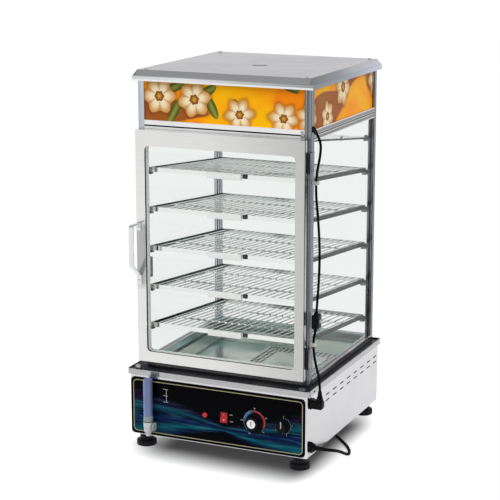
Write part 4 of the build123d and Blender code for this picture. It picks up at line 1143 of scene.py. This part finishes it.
class CABINET_OT_leads(bpy.types.Operator):
    """Lamp lead with its switch and plug, and mains cord with its gland and plug"""

    bl_idname = "cabinet.leads"
    bl_label = "Leads"

    def execute(self, context):
        lead = place(cord_line("lamp_flex", LEAD_ROUTE, LEAD_RADIUS), "cord", CABINET, "cord_pvc",
                     "lamp_lead")
        switch = place(self.inline_switch(), "black_plastic", CABINET, "black_plastic", "lamp_switch")
        button = place(self.push_button(), "white_plastic", "lamp_button", "white_plastic",
                       "lamp_switch_button")
        plug = place(self.elbow_plug(), "black_plastic", CABINET, "black_plastic", "lead_plug")

        route = CORD_ROUTE + coil_points(sizes().cord_turns) + CORD_TAIL
        flex = place(cord_line("mains_flex", route, CORD_RADIUS), "cord", CABINET, "cord_pvc",
                     "power_cord", "power_cord_coil")
        mains = place(self.mains_plug(), "black_plastic", CABINET, "black_plastic", "power_plug")
        pins = place(self.plug_pins(), "chrome", CABINET, "chrome")
        gland = place(self.gland(), "black_plastic", CABINET, "black_plastic", "power_gland")
        ties = place(self.ties(), "black_plastic", CABINET, "black_plastic")
        return {"FINISHED"}

    @staticmethod
    def inline_switch():
        """Switch body with a seam round its middle and a neck at each end."""
        low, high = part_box("lamp_switch")
        middle = (low + high) / 2
        body = bar("inline_switch", (low.x, low.y, low.z + 0.002),
                   (high.x, high.y, high.z - 0.002), 0.0042, 5)
        seam = bar("switch_seam", (middle.x - 0.0006, low.y - 0.0003, low.z + 0.005),
                   (middle.x + 0.0006, high.y + 0.0003, high.z - 0.005), 0.0002, 1)
        above, below = Vector(LEAD_ROUTE[8]), Vector(LEAD_ROUTE[9])
        centre, axis = (above + below) / 2, (below - above).normalized()
        neck = turned("switch_neck", (0, 0, 0), UP,
                      [(0, 0.0062), (0.004, 0.0060), (0.0075, 0.0042), (0.009, 0.0038)], 32)
        necks = repeated("switch_neck", neck, [centre - axis * 0.012, centre + axis * 0.012],
                         [aimed(-axis), aimed(axis)])
        return joined("inline_switch", [body, seam, necks])

    @staticmethod
    def push_button():
        """Round button of the switch with an eased rim."""
        low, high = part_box("lamp_switch_button")
        middle, radius, height = (low + high) / 2, (high.z - low.z) / 2, high.x - low.x
        return turned("push_button", (low.x, middle.y, middle.z), RIGHT,
                      [(0, radius), (height - 0.0008, radius), (height - 0.0003, radius * 0.85),
                       (height, radius * 0.5)], 32)

    @staticmethod
    def elbow_plug():
        """Square plug on its rim, with a collar and a ribbed boot that lies along the lead."""
        low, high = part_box("lead_plug")
        y, z, half, rim_half = -0.200, 0.153, 0.0100, 0.0108
        body = bar("elbow_plug", (low.x, y - half, z - half), (high.x, y + half, z + half), 0.0046, 5)
        rim = bar("plug_rim", (low.x, y - rim_half, z - rim_half),
                  (low.x + 0.0045, y + rim_half, z + rim_half), 0.0016, 3)
        collar = turned("plug_collar", (LEAD_ROUTE[-1][0], y, z), UP,
                        [(0.008, 0.0078), (0.014, 0.0070), (0.017, 0.0066)], 32)
        ribs, pitch, taper = 4, 0.0042, 0.00045
        stations = [(-0.016, 0.0064)]
        for rib in range(ribs):
            start, wide = -0.0145 + rib * pitch, 0.0060 - rib * taper
            stations += [(start, wide), (start + 0.0026, wide - 0.0002), (start + 0.0028, wide - 0.0011),
                         (start + 0.0040, wide - 0.0012)]
        stations.append((0.003, 0.0034))
        run = Vector(LEAD_ROUTE[-2]) - Vector(LEAD_ROUTE[-1])
        boot = turned("plug_boot", LEAD_ROUTE[-1], run, stations, 32)
        return joined("elbow_plug", [body, rim, collar, boot])

    @staticmethod
    def gland():
        """Hexagon nut, dome and bend relief where the mains cord leaves the base."""
        start = (0.2175, CORD_ROUTE[0][1], CORD_ROUTE[0][2])
        nut = turned("cord_gland", start, RIGHT, [(0, 0.0135), (0.0055, 0.0135)], 6, 0.0006)
        dome = turned("gland_dome", start, RIGHT,
                      [(0.005, 0.0105), (0.009, 0.0102), (0.0115, 0.0088), (0.013, 0.0066),
                       (0.0125, 0.0046)], 40)
        boot = turned("gland_boot", start, RIGHT,
                      [(0.0105, 0.0062), (0.018, 0.0056), (0.026, 0.0049), (0.0335, 0.0042)], 32)
        return joined("cord_gland", [nut, dome, boot])

    @staticmethod
    def mains_plug():
        """Plug body that narrows towards its neck."""
        low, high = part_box("power_plug")
        front, rear = low.y + 0.017, low.y + 0.045
        body = bar("mains_plug", (low.x, front, 0), (high.x, rear, 0.014), 0.0045, 5)
        pick(body, "FACE", lambda face: face.normal.y > 0.9 and face.center.y > rear - 0.005)
        bpy.ops.transform.resize(value=(0.62, 1, 0.8), center_override=(MAINS_PLUG_X, rear, 0.006))
        bpy.ops.object.mode_set(mode="OBJECT")
        neck = turned("plug_neck", (MAINS_PLUG_X, rear - 0.002, 0.0056), (0, 1, -0.05),
                      [(0, 0.0055), (0.006, 0.0052), (0.012, 0.0046), (0.020, 0.0040)], 32)
        return joined("mains_plug", [body, neck])

    @staticmethod
    def plug_pins():
        """Two flat pins."""
        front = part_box("power_plug")[0].y
        pin = bar("plug_pins", (-0.003, front, 0.006), (0.003, front + 0.019, 0.0078), 0.0006, 2)
        return repeated("plug_pins", pin, [(MAINS_PLUG_X - 0.007, 0, 0), (MAINS_PLUG_X + 0.007, 0, 0)])

    @staticmethod
    def ties():
        """Two ties round the wound cord, each a box whose ends are opened into a flat ring."""
        half_width, half_reach, foot, top, from_centre = 0.0035, 0.0150, 0.0002, 0.0155, 0.0335
        tie = bar("cord_ties", (-half_width, -half_reach, foot), (half_width, half_reach, top), 0.0)
        pick(tie, "FACE", lambda face: abs(face.normal.x) > 0.9)
        bpy.ops.mesh.inset(thickness=0.0009, use_individual=True)
        bpy.ops.mesh.bridge_edge_loops()
        soften(outward(tie), 0.0004, 2)
        x, y = COIL_CENTRE
        return repeated("cord_ties", tie, [(x, y - from_centre, 0), (x, y + from_centre, 0)])


class CABINET_OT_controls(bpy.types.Operator):
    """Knobs with their printed dials, the rocker and the pilot lamp"""

    bl_idname = "cabinet.controls"
    bl_label = "Controls"

    def execute(self, context):
        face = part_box("control_panel")[0].y
        self.knobs(face)
        self.prints(face)
        place(self.rocker_frame(face), "black_plastic", CABINET, "black_plastic", "rocker_housing")
        place(self.rocker(), "red_plastic", "rocker_key", "red_plastic", "rocker")
        place(self.rocker_marks(), "white_print", "rocker_key", "white_plastic")
        place(self.pilot(face), "red_lens", CABINET, "red_plastic", "pilot_lamp")
        collar = turned("pilot_collar", (PILOT_X, face, CONTROL_Z), FRONT,
                        [(0, 0.0079), (0.0012, 0.0079), (0.0018, 0.0074), (0.0018, 0.0064)], 48)
        place(collar, "black_plastic", CABINET, "black_plastic")
        return {"FINISHED"}

    def knobs(self, face):
        """Both knobs with the chrome disc and the pointers that turn with them."""
        heat = self.knob("heat_knob", (HEAT_X, face, CONTROL_Z), 0.020, HEAT_DEPTH)
        place(heat, "black_plastic", "thermostat", "black_plastic", "thermostat_knob")
        mode = self.knob("mode_knob", (MODE_X, face, CONTROL_Z), 0.0155, MODE_DEPTH)
        place(mode, "black_plastic", "selector", "black_plastic", "selector_knob")
        disc = turned("heat_disc", (HEAT_X, face - HEAT_DEPTH - 0.0001, CONTROL_Z), FRONT,
                      [(0, 0.0100), (0.0004, 0.0100), (0.0006, 0.0094)], 48)
        place(disc, "chrome", "thermostat", "chrome")
        mark = bar("heat_pointer", (HEAT_X - 0.0009, face - HEAT_DEPTH - 0.0010, CONTROL_Z - 0.0050),
                   (HEAT_X + 0.0009, face - HEAT_DEPTH - 0.0004, CONTROL_Z + 0.0062), 0.0002, 2)
        place(mark, "black_plastic", "thermostat", "black_plastic")
        pointer = bar("mode_pointer", (MODE_X - 0.0008, face - MODE_DEPTH - 0.0010, CONTROL_Z - 0.001),
                      (MODE_X + 0.0008, face - MODE_DEPTH + 0.0003, CONTROL_Z + 0.0145), 0.0002, 2)
        place(pointer, "white_print", "selector", "white_plastic")

    @staticmethod
    def knob(name, middle, radius, depth):
        """Tapered knob with grip flutes pressed into its side, and its shaft."""
        count, flute, skirt, middle_radius = sizes().knob_flutes, sizes().knob_flute, 0.0045, radius * 0.86
        stations = [(0.0005, radius), (0.003, radius), (0.0042, radius * 0.93),
                    (depth - 0.0035, middle_radius), (depth - 0.0012, radius * 0.83), (depth, radius * 0.74),
                    (depth - 0.0004, radius * 0.62)]
        body = turned(name, (0, 0, 0), UP, stations, count * 3)

        def in_flute(face):
            step = atan2(face.center.y, face.center.x) / (2 * pi) * count
            on_side = abs(face.normal.z) < 0.3 and face.center.xy.length > middle_radius * 0.97
            return on_side and abs(step - round(step)) < 0.2 and face.center.z > skirt

        pick(body, "FACE", in_flute)
        bpy.ops.transform.shrink_fatten(value=-flute)
        bpy.ops.object.mode_set(mode="OBJECT")
        body.rotation_euler = (pi / 2, 0, 0)
        body.location = middle
        settled(body, name)
        shaft = turned(name, Vector(middle) - Vector((0, 0.001, 0)), REAR, [(0, 0.003), (0.0145, 0.003)], 24)
        return joined(name, [body, shaft])

    def prints(self, face):
        """Dial, figures and fine lines that are printed on the panel."""
        radius = sizes().dial_radius
        dial = turned("heat_dial", (HEAT_X, face, CONTROL_Z), FRONT, [(0, radius), (0.0003, radius)], 96)
        place(dial, "dial_print", CABINET, "white_plastic")
        words = self.figures_round(HEAT_X, radius + 0.0042, ("30", "50", "70", "90", "110"), 67.5)
        words += self.figures_round(MODE_X, 0.0215, ("0", "1", "2", "3"), 80)
        words += [("ON", ROCKER_X + 0.0175, CONTROL_Z + 0.008), ("OFF", ROCKER_X + 0.0185, CONTROL_Z - 0.008)]
        figures = lettering("dial_figures", words, 0.0042, face - 0.0001)
        place(figures, "white_print", CABINET, "white_plastic")
        ticks = joined("dial_ticks", [*self.ticks(face), self.level_scale(face)])
        place(ticks, "white_print", CABINET, "white_plastic")

    @staticmethod
    def figures_round(x, radius, texts, step):
        """Figures round a knob, clockwise from the top in steps of some degrees."""
        angles = [radians(90 - step * index) for index in range(len(texts))]
        return [(text, x + cos(angle) * radius, CONTROL_Z + sin(angle) * radius)
                for text, angle in zip(texts, angles)]

    @staticmethod
    def ticks(face):
        """Ticks round the right-hand knob, every sixth one longer."""
        count, step, inner, thick, half = 19, radians(13.3), 0.0170, 0.0002, 0.0003
        middle, kinds = (MODE_X, face, CONTROL_Z), []
        longer = range(0, count, 6)
        shorter = [index for index in range(count) if index not in longer]
        for outer, chosen in ((0.0193, longer), (0.0187, shorter)):
            tick = bar("dial_ticks", (-half, -thick, inner), (half, 0, outer), 0.0)
            kinds.append(repeated("dial_ticks", tick, [middle] * len(chosen),
                                  [(0, step * index, 0) for index in chosen]))
        return kinds

    @staticmethod
    def level_scale(face):
        """Line with three marks beside the level tube."""
        x, thick, half, rises = -0.124, 0.0002, 0.0004, (0.016, 0.031, 0.046)
        line = bar("level_scale", (x - half, face - thick, CONTROL_Z + rises[0]),
                   (x + half, face, CONTROL_Z + rises[-1]), 0.0)
        mark = bar("level_scale", (x - 0.008, face - thick, -half), (x + 0.004, face, half), 0.0)
        marks = repeated("level_scale", mark, [(0, 0, CONTROL_Z + rise) for rise in rises])
        return joined("level_scale", [line, marks])

    @staticmethod
    def rocker_frame(face):
        """Bezel on the panel and the body behind it, with the well that the key tilts in."""
        low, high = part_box("rocker_housing")
        half_wide, half_high, floor = 0.0086, 0.0122, face + 0.0075
        bezel = bar("rocker_bezel", low, (high.x, face, high.z), 0.0)
        rear = bar("rocker_rear", (low.x + 0.002, face, low.z + 0.0025),
                   (high.x - 0.002, high.y, high.z - 0.0025), 0.0)
        for block in (bezel, rear):
            carve(block, bar("rocker_well", (ROCKER_X - half_wide, low.y - 0.001, CONTROL_Z - half_high),
                             (ROCKER_X + half_wide, floor, CONTROL_Z + half_high), 0.0))
        soften(bezel, 0.0006, 3)
        return joined("rocker_bezel", [bezel, rear])

    @staticmethod
    def dish(height):
        """How far the key's front stands before its pivot plane at a height on the key."""
        return 0.0012 + 0.0014 * (height / sizes().key_half) ** 2

    @staticmethod
    def on_pivot(obj, name):
        """Tilts a piece of the key to its rest and moves it to the pivot."""
        obj.rotation_euler = (ROCKER_TILT, 0, 0)
        obj.location = (0, ROCKER_PIVOT_Y, CONTROL_Z)
        return settled(obj, name)

    def rocker(self):
        """Key with two raised ends on its side pins, at its rest tilt."""
        half, half_wide, pin_end = sizes().key_half, 0.0083, 0.0086
        key = bar("rocker_key_cap", (ROCKER_X - half_wide, 0, -half),
                  (ROCKER_X + half_wide, 0.0035, half), 0.0)
        bpy.ops.object.mode_set(mode="EDIT")
        bpy.ops.mesh.select_all(action="SELECT")
        bpy.ops.mesh.subdivide(number_cuts=7)
        bpy.ops.object.mode_set(mode="OBJECT")
        for vertex in key.data.vertices:
            if vertex.co.y < 0.0002:
                vertex.co.y = -self.dish(vertex.co.z)
        soften(key, 0.0005, 3)
        pin = turned("rocker_pin", (ROCKER_X - pin_end, 0.0012, 0), RIGHT,
                     [(0, 0.0011), (pin_end * 2, 0.0011)], 20)
        return self.on_pivot(joined("rocker_key_cap", [key, pin]), "rocker_key_cap")

    def rocker_marks(self):
        """Figures that follow the dish of the key."""
        words = [("I", ROCKER_X, 0.0062), ("O", ROCKER_X, -0.0062)]
        marks = lettering("rocker_marks", words, 0.0056, -0.00005)
        for vertex in marks.data.vertices:
            vertex.co.y -= self.dish(vertex.co.z)
        return self.on_pivot(marks, "rocker_marks")

    @staticmethod
    def pilot(face):
        """Domed lens with the lamp's body behind the panel."""
        lens = turned("pilot_lens", (PILOT_X, face - 0.0003, CONTROL_Z), FRONT,
                      [(0.0, 0.0060), (0.0022, 0.0060), (0.0034, 0.0057), (0.0044, 0.0048), (0.0050, 0.0034),
                       (0.0053, 0.0016)], 40)
        rear = turned("pilot_rear", (PILOT_X, face - 0.001, CONTROL_Z), REAR,
                      [(0, 0.005), (0.0165, 0.005)], 24)
        return joined("pilot_lens", [lens, rear])


class CABINET_OT_level(bpy.types.Operator):
    """Level tube with its water, its seal and collar, and its tap"""

    bl_idname = "cabinet.level"
    bl_label = "Level tube"

    def execute(self, context):
        low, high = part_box("sight_tube")
        x, y = (low.x + high.x) / 2, (low.y + high.y) / 2
        outer, height = (high.x - low.x) / 2, high.z - low.z
        bore, seal_foot, collar_foot = outer - 0.0025, 0.0702, 0.0718
        tube = turned("level_tube", (x, y, low.z), UP,
                      [(0, outer), (height - 0.0006, outer), (height, outer - 0.0006),
                       (height, outer - 0.0021), (height - 0.001, bore), (0.003, bore)], 48)
        place(tube, "tube_acrylic", CABINET, "tube_acrylic", "sight_tube")
        water = turned("level_water", (x, y, low.z + 0.0032), UP,
                       [(0, bore - 0.0003), (height * 0.9, bore - 0.0003)], 40)
        place(water, "water", CABINET, "tube_acrylic")
        seal = turned("level_seal", (x, y, seal_foot), UP, [(0, 0.0114), (0.0016, 0.0114)], 48)
        place(seal, "black_rubber", CABINET, "black_rubber")
        collar = turned("level_collar", (x, y, collar_foot), UP,
                        [(0, 0.0111), (0.0118, 0.0111), (0.0124, 0.0106)], 48)
        place(collar, "clear_plastic", CABINET, "clear_plastic")
        place(self.tap(x, y), "tap_metal", CABINET, "chrome", "tap_body")
        place(self.wheel(y), "clear_plastic", "tap_key", "clear_plastic", "tap_lever")
        return {"FINISHED"}

    @staticmethod
    def tap(x, y):
        """Tap under the tube, its pipe into the base and the stem at the pipe's end."""
        pipe_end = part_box("tap_body")[1].y
        tap = turned("tap_housing", (x, y, 0.049), UP,
                     [(-0.0130, 0.0042), (-0.0125, 0.0055), (-0.0050, 0.0066), (-0.0035, 0.0092),
                      (0.0, 0.0104), (0.006, 0.0104), (0.0075, 0.0112), (0.0195, 0.0114), (0.0205, 0.0110),
                      (0.0218, 0.0110)], 48)
        pipe = turned("tap_pipe", (x, y + 0.006, 0.057), REAR,
                      [(0, 0.0078), (0.003, 0.0078), (0.0032, 0.0058), (pipe_end - y - 0.008, 0.0058)], 32)
        stem = turned("tap_stem", (x, pipe_end - 0.006, 0.051), UP, [(0, 0.0058), (0.0488, 0.0058)], 32)
        return joined("tap_housing", [tap, pipe, stem])

    @staticmethod
    def wheel(y):
        """Wheel of the tap with its grip."""
        low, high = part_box("tap_lever")
        wheel = turned("tap_wheel", (low.x, y, 0.059), RIGHT,
                       [(0, 0.0039), (0.0055, 0.0039), (0.006, 0.0086), (0.0068, 0.0098), (0.0108, 0.0098),
                        (0.0118, 0.0088), (0.0118, 0.0060)], 40)
        grip = bar("tap_grip", (high.x - 0.0035, y - 0.002, low.z + 0.0035),
                   (high.x, y + 0.002, high.z), 0.0008, 3)
        return joined("tap_wheel", [wheel, grip])


class CABINET_OT_handle(bpy.types.Operator):
    """Folded strap handle of the door"""

    bl_idname = "cabinet.handle"
    bl_label = "Door handle"

    def execute(self, context):
        low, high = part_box("door_handle")
        x, thick = (low.x + high.x) / 2, 0.0025
        face, grip, top = high.y - thick / 2, low.y + thick / 2, high.z - thick / 2
        points = [(face, high.z - 0.018), (face, top), (grip, top), (grip, low.z + 0.0503),
                  (face, low.z + 0.0237), (face, low.z)]
        body = strap("door_grip", x, high.x - low.x, points, thick, sizes().handle_bend)
        place(body, "chrome", DOOR, "chrome", "door_handle")
        rivet = turned("grip_rivets", (x, face - 0.001, 0), FRONT,
                       [(0, 0.0032), (0.0012, 0.0032), (0.0019, 0.0024), (0.0022, 0.0010)], 24)
        rivets = repeated("grip_rivets", rivet, [(0, 0, high.z - 0.011), (0, 0, low.z + 0.0105)])
        place(rivets, "chrome", DOOR, "chrome")
        return {"FINISHED"}


class CABINET_OT_shelf_trim(bpy.types.Operator):
    """White sleeves and dark clips on the shelf fronts"""

    bl_idname = "cabinet.shelf_trim"
    bl_label = "Shelf trim"

    def execute(self, context):
        low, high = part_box("shelf_grips")
        front, top, foot = low.y, high.z, high.z - 0.0145
        steps = [(0, 0, -SHELF_PITCH * number) for number in range(SHELF_COUNT)]
        sleeve = bar("shelf_sleeves", (low.x, front, foot), (high.x, front + 0.0022, top), 0.0009, 4)
        lip = bar("sleeve_lip", (low.x, front + 0.001, foot),
                  (high.x, front + 0.0078, foot + 0.0019), 0.0006, 3)
        sleeves = repeated("shelf_sleeves", joined("shelf_sleeves", [sleeve, lip]), steps)
        place(sleeves, "white_plastic", CABINET, "white_plastic", "shelf_grips")
        clip = bar("shelf_clips", (high.x + 0.003, front + 0.0004, top - 0.0095),
                   (high.x + 0.014, front + 0.0022, top + 0.0002), 0.0005, 2)
        place(repeated("shelf_clips", clip, steps), "dark_steel", CABINET, "dark_steel")
        return {"FINISHED"}


class CABINET_OT_feet(bpy.types.Operator):
    """Turned rubber feet"""

    bl_idname = "cabinet.feet"
    bl_label = "Feet"

    def execute(self, context):
        low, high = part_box("feet")
        top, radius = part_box("base_floor")[0].z, 0.023
        foot = turned("rubber_feet", (0, 0, 0), UP,
                      [(0.0, radius - 0.0015), (0.0006, radius - 0.0004), (0.002, radius), (0.0105, radius),
                       (0.012, radius - 0.0008), (0.013, radius - 0.0030), (0.0142, 0.0158), (0.0155, 0.0150),
                       (top - 0.002, 0.0152), (top - 0.0006, 0.0158), (top, 0.0156)], 56)
        stud = turned("foot_stud", (0, 0, top - 0.001), UP, [(0, 0.0039), (0.0105, 0.0039)], 20)
        corners = [(x, y, 0) for x in (low.x + radius, high.x - radius)
                   for y in (low.y + radius, high.y - radius)]
        feet = repeated("rubber_feet", joined("rubber_feet", [foot, stud]), corners)
        place(feet, "black_rubber", CABINET, "black_rubber", "feet")
        return {"FINISHED"}


class CABINET_OT_trim(bpy.types.Operator):
    """Small pieces of the rim, the sign box and the lid"""

    bl_idname = "cabinet.trim"
    bl_label = "Small trim"

    def execute(self, context):
        self.rim_pieces()
        lid_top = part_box("top_cap")[1].z
        plug = turned("lid_plug", (0.0055, 0.0025, lid_top), UP,
                      [(0, 0.0178), (0.0002, 0.0178), (0.0007, 0.0168), (0.0008, 0.0090)], 56)
        place(plug, "cap_steel", CABINET, "cap_steel")
        rail_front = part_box("header_rails")[0].y
        bracket = bar("rail_bracket", (0.182, rail_front - 0.0012, 0.7335),
                      (0.190, rail_front + 0.0002, 0.7485), 0.0004, 2)
        place(bracket, "zinc", CABINET, "zinc")
        self.drip_pieces()
        place(self.screws(), "chrome", CABINET, "chrome", "pan_head_screws")
        return {"FINISHED"}

    @staticmethod
    def rim_pieces():
        """Tab and slot in the rim's lips, and the washer and corner clip on its mat."""
        low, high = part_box("rim_tray")
        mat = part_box("rim_gasket")[1].z
        tab = bar("rim_tab", (-0.163, low.y, 0.1745), (-0.140, low.y + 0.0012, 0.1855), 0.0004, 2)
        place(tab, "zinc", CABINET, "zinc")
        washer = turned("mat_washer", (0.198, -0.205, mat), UP,
                        [(0, 0.0080), (0.0010, 0.0080), (0.0014, 0.0074), (0.0014, 0.0045), (0.0030, 0.0043),
                         (0.0036, 0.0034), (0.0038, 0.0014)], 36)
        place(washer, "chrome", CABINET, "chrome")
        slot = bar("rim_slot", (high.x - 0.0016, -0.199, 0.1770), (high.x, -0.189, 0.1815), 0.0003, 2)
        place(slot, "black_plastic", CABINET, "black_plastic")
        clip = bar("corner_clip", (-0.205, -0.2185, mat), (-0.193, -0.2095, mat + 0.011), 0.0008, 3)
        place(clip, "zinc", CABINET, "zinc")

    @staticmethod
    def drip_pieces():
        """Clip, dark edges and stop of the sloping drip plate."""
        low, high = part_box("drip_plate")
        fall = (high.z - low.z - 0.004) / (high.y - low.y)
        clip_y = 0.047
        clip_z = high.z - 0.002 - fall * (clip_y - low.y)
        clip = bar("drip_clip", (high.x - 0.0060, clip_y - 0.005, clip_z - 0.0035),
                   (high.x + 0.0006, clip_y + 0.005, clip_z + 0.0065), 0.0008, 3)
        place(clip, "white_plastic", CABINET, "white_plastic")
        run = Vector((0, high.y - low.y, low.z - high.z + 0.002))
        edge = bar("drip_edges", (-0.0007, 0.0005, -0.0016), (0.0007, run.length - 0.0005, 0.0016), 0.0003, 2)
        x, tilt = high.x + 0.0002, (atan2(run.z, run.y), 0, 0)
        edges = repeated("drip_edges", edge, [(-x, low.y, high.z - 0.0018), (x, low.y, high.z - 0.0018)],
                         [tilt, tilt])
        place(edges, "black_rubber", CABINET, "black_rubber")
        stop = bar("drip_stop", (high.x - 0.0045, high.y - 0.016, low.z + 0.0010),
                   (high.x + 0.0008, high.y - 0.004, low.z + 0.0090), 0.0008, 3)
        place(stop, "grey_metal", CABINET, "dark_steel")

    @staticmethod
    def screws():
        """Pan heads with a cross slot, upright on the lid and upside down under the base."""
        low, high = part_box("top_cap")
        from_edge, twist = 0.023, 0.3
        shifts = [(x, y, high.z) for x in (from_edge - high.x, high.x - from_edge)
                  for y in (low.y + from_edge, high.y - from_edge)]
        turns = [(0, 0, twist)] * len(shifts)
        low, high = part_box("base_shell")
        below = [(x, y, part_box("base_floor")[0].z) for x in (0.004, 0.087, 0.170)
                 for y in (low.y + 0.009, high.y - 0.009)]
        head = turned("case_screws", (0, 0, 0), UP,
                      [(-0.0044, 0.0019), (0.0, 0.0020), (0.0, 0.0045), (0.0012, 0.0045), (0.0020, 0.0038),
                       (0.0025, 0.0022), (0.0026, 0.0010)], 24)
        half_long, half_wide, slot_foot, slot_top = 0.0026, 0.0004, 0.0014, 0.0040
        for turn in (0, pi / 2):
            slot = bar("slot", (-half_long, -half_wide, slot_foot), (half_long, half_wide, slot_top), 0.0)
            slot.rotation_euler = (0, 0, turn)
            carve(head, settled(slot, "slot"))
        return repeated("case_screws", head, shifts + below, turns + [(0, pi, twist)] * len(below))


# The add-on


OPERATORS = (CABINET_OT_stage, CABINET_OT_finishes, CABINET_OT_leads, CABINET_OT_controls, CABINET_OT_level,
             CABINET_OT_handle, CABINET_OT_shelf_trim, CABINET_OT_feet, CABINET_OT_trim)


class CABINET_PT_sidebar(bpy.types.Panel):
    """Sizes, colours and steps of the cabinet"""

    bl_idname = "CABINET_PT_sidebar"
    bl_label = "Bun Cabinet"
    bl_space_type = "VIEW_3D"
    bl_region_type = "UI"
    bl_category = "Bun Cabinet"

    def draw(self, context):
        layout = self.layout
        for group in (context.scene.cabinet_sizes, context.scene.cabinet_colours):
            box = layout.box()
            for name in group.__annotations__:
                box.prop(group, name)
        for operator in OPERATORS:
            layout.operator(operator.bl_idname)


CLASSES = (CabinetSizes, CabinetColours, *OPERATORS, CABINET_PT_sidebar)


def register():
    """Adds the classes and the scene's settings."""
    for item in CLASSES:
        bpy.utils.register_class(item)
    bpy.types.Scene.cabinet_sizes = bpy.props.PointerProperty(type=CabinetSizes)
    bpy.types.Scene.cabinet_colours = bpy.props.PointerProperty(type=CabinetColours)


def unregister():
    """Removes them again."""
    del bpy.types.Scene.cabinet_sizes
    del bpy.types.Scene.cabinet_colours
    for item in reversed(CLASSES):
        bpy.utils.unregister_class(item)


def main():
    """Builds the cabinet step by step and keeps both boxes."""
    register()
    bpy.ops.cabinet.stage()
    bpy.ops.cabinet.finishes()
    bpy.ops.cabinet.leads()
    bpy.ops.cabinet.controls()
    bpy.ops.cabinet.level()
    bpy.ops.cabinet.handle()
    bpy.ops.cabinet.shelf_trim()
    bpy.ops.cabinet.feet()
    bpy.ops.cabinet.trim()


if __name__ == "__main__":
    main()
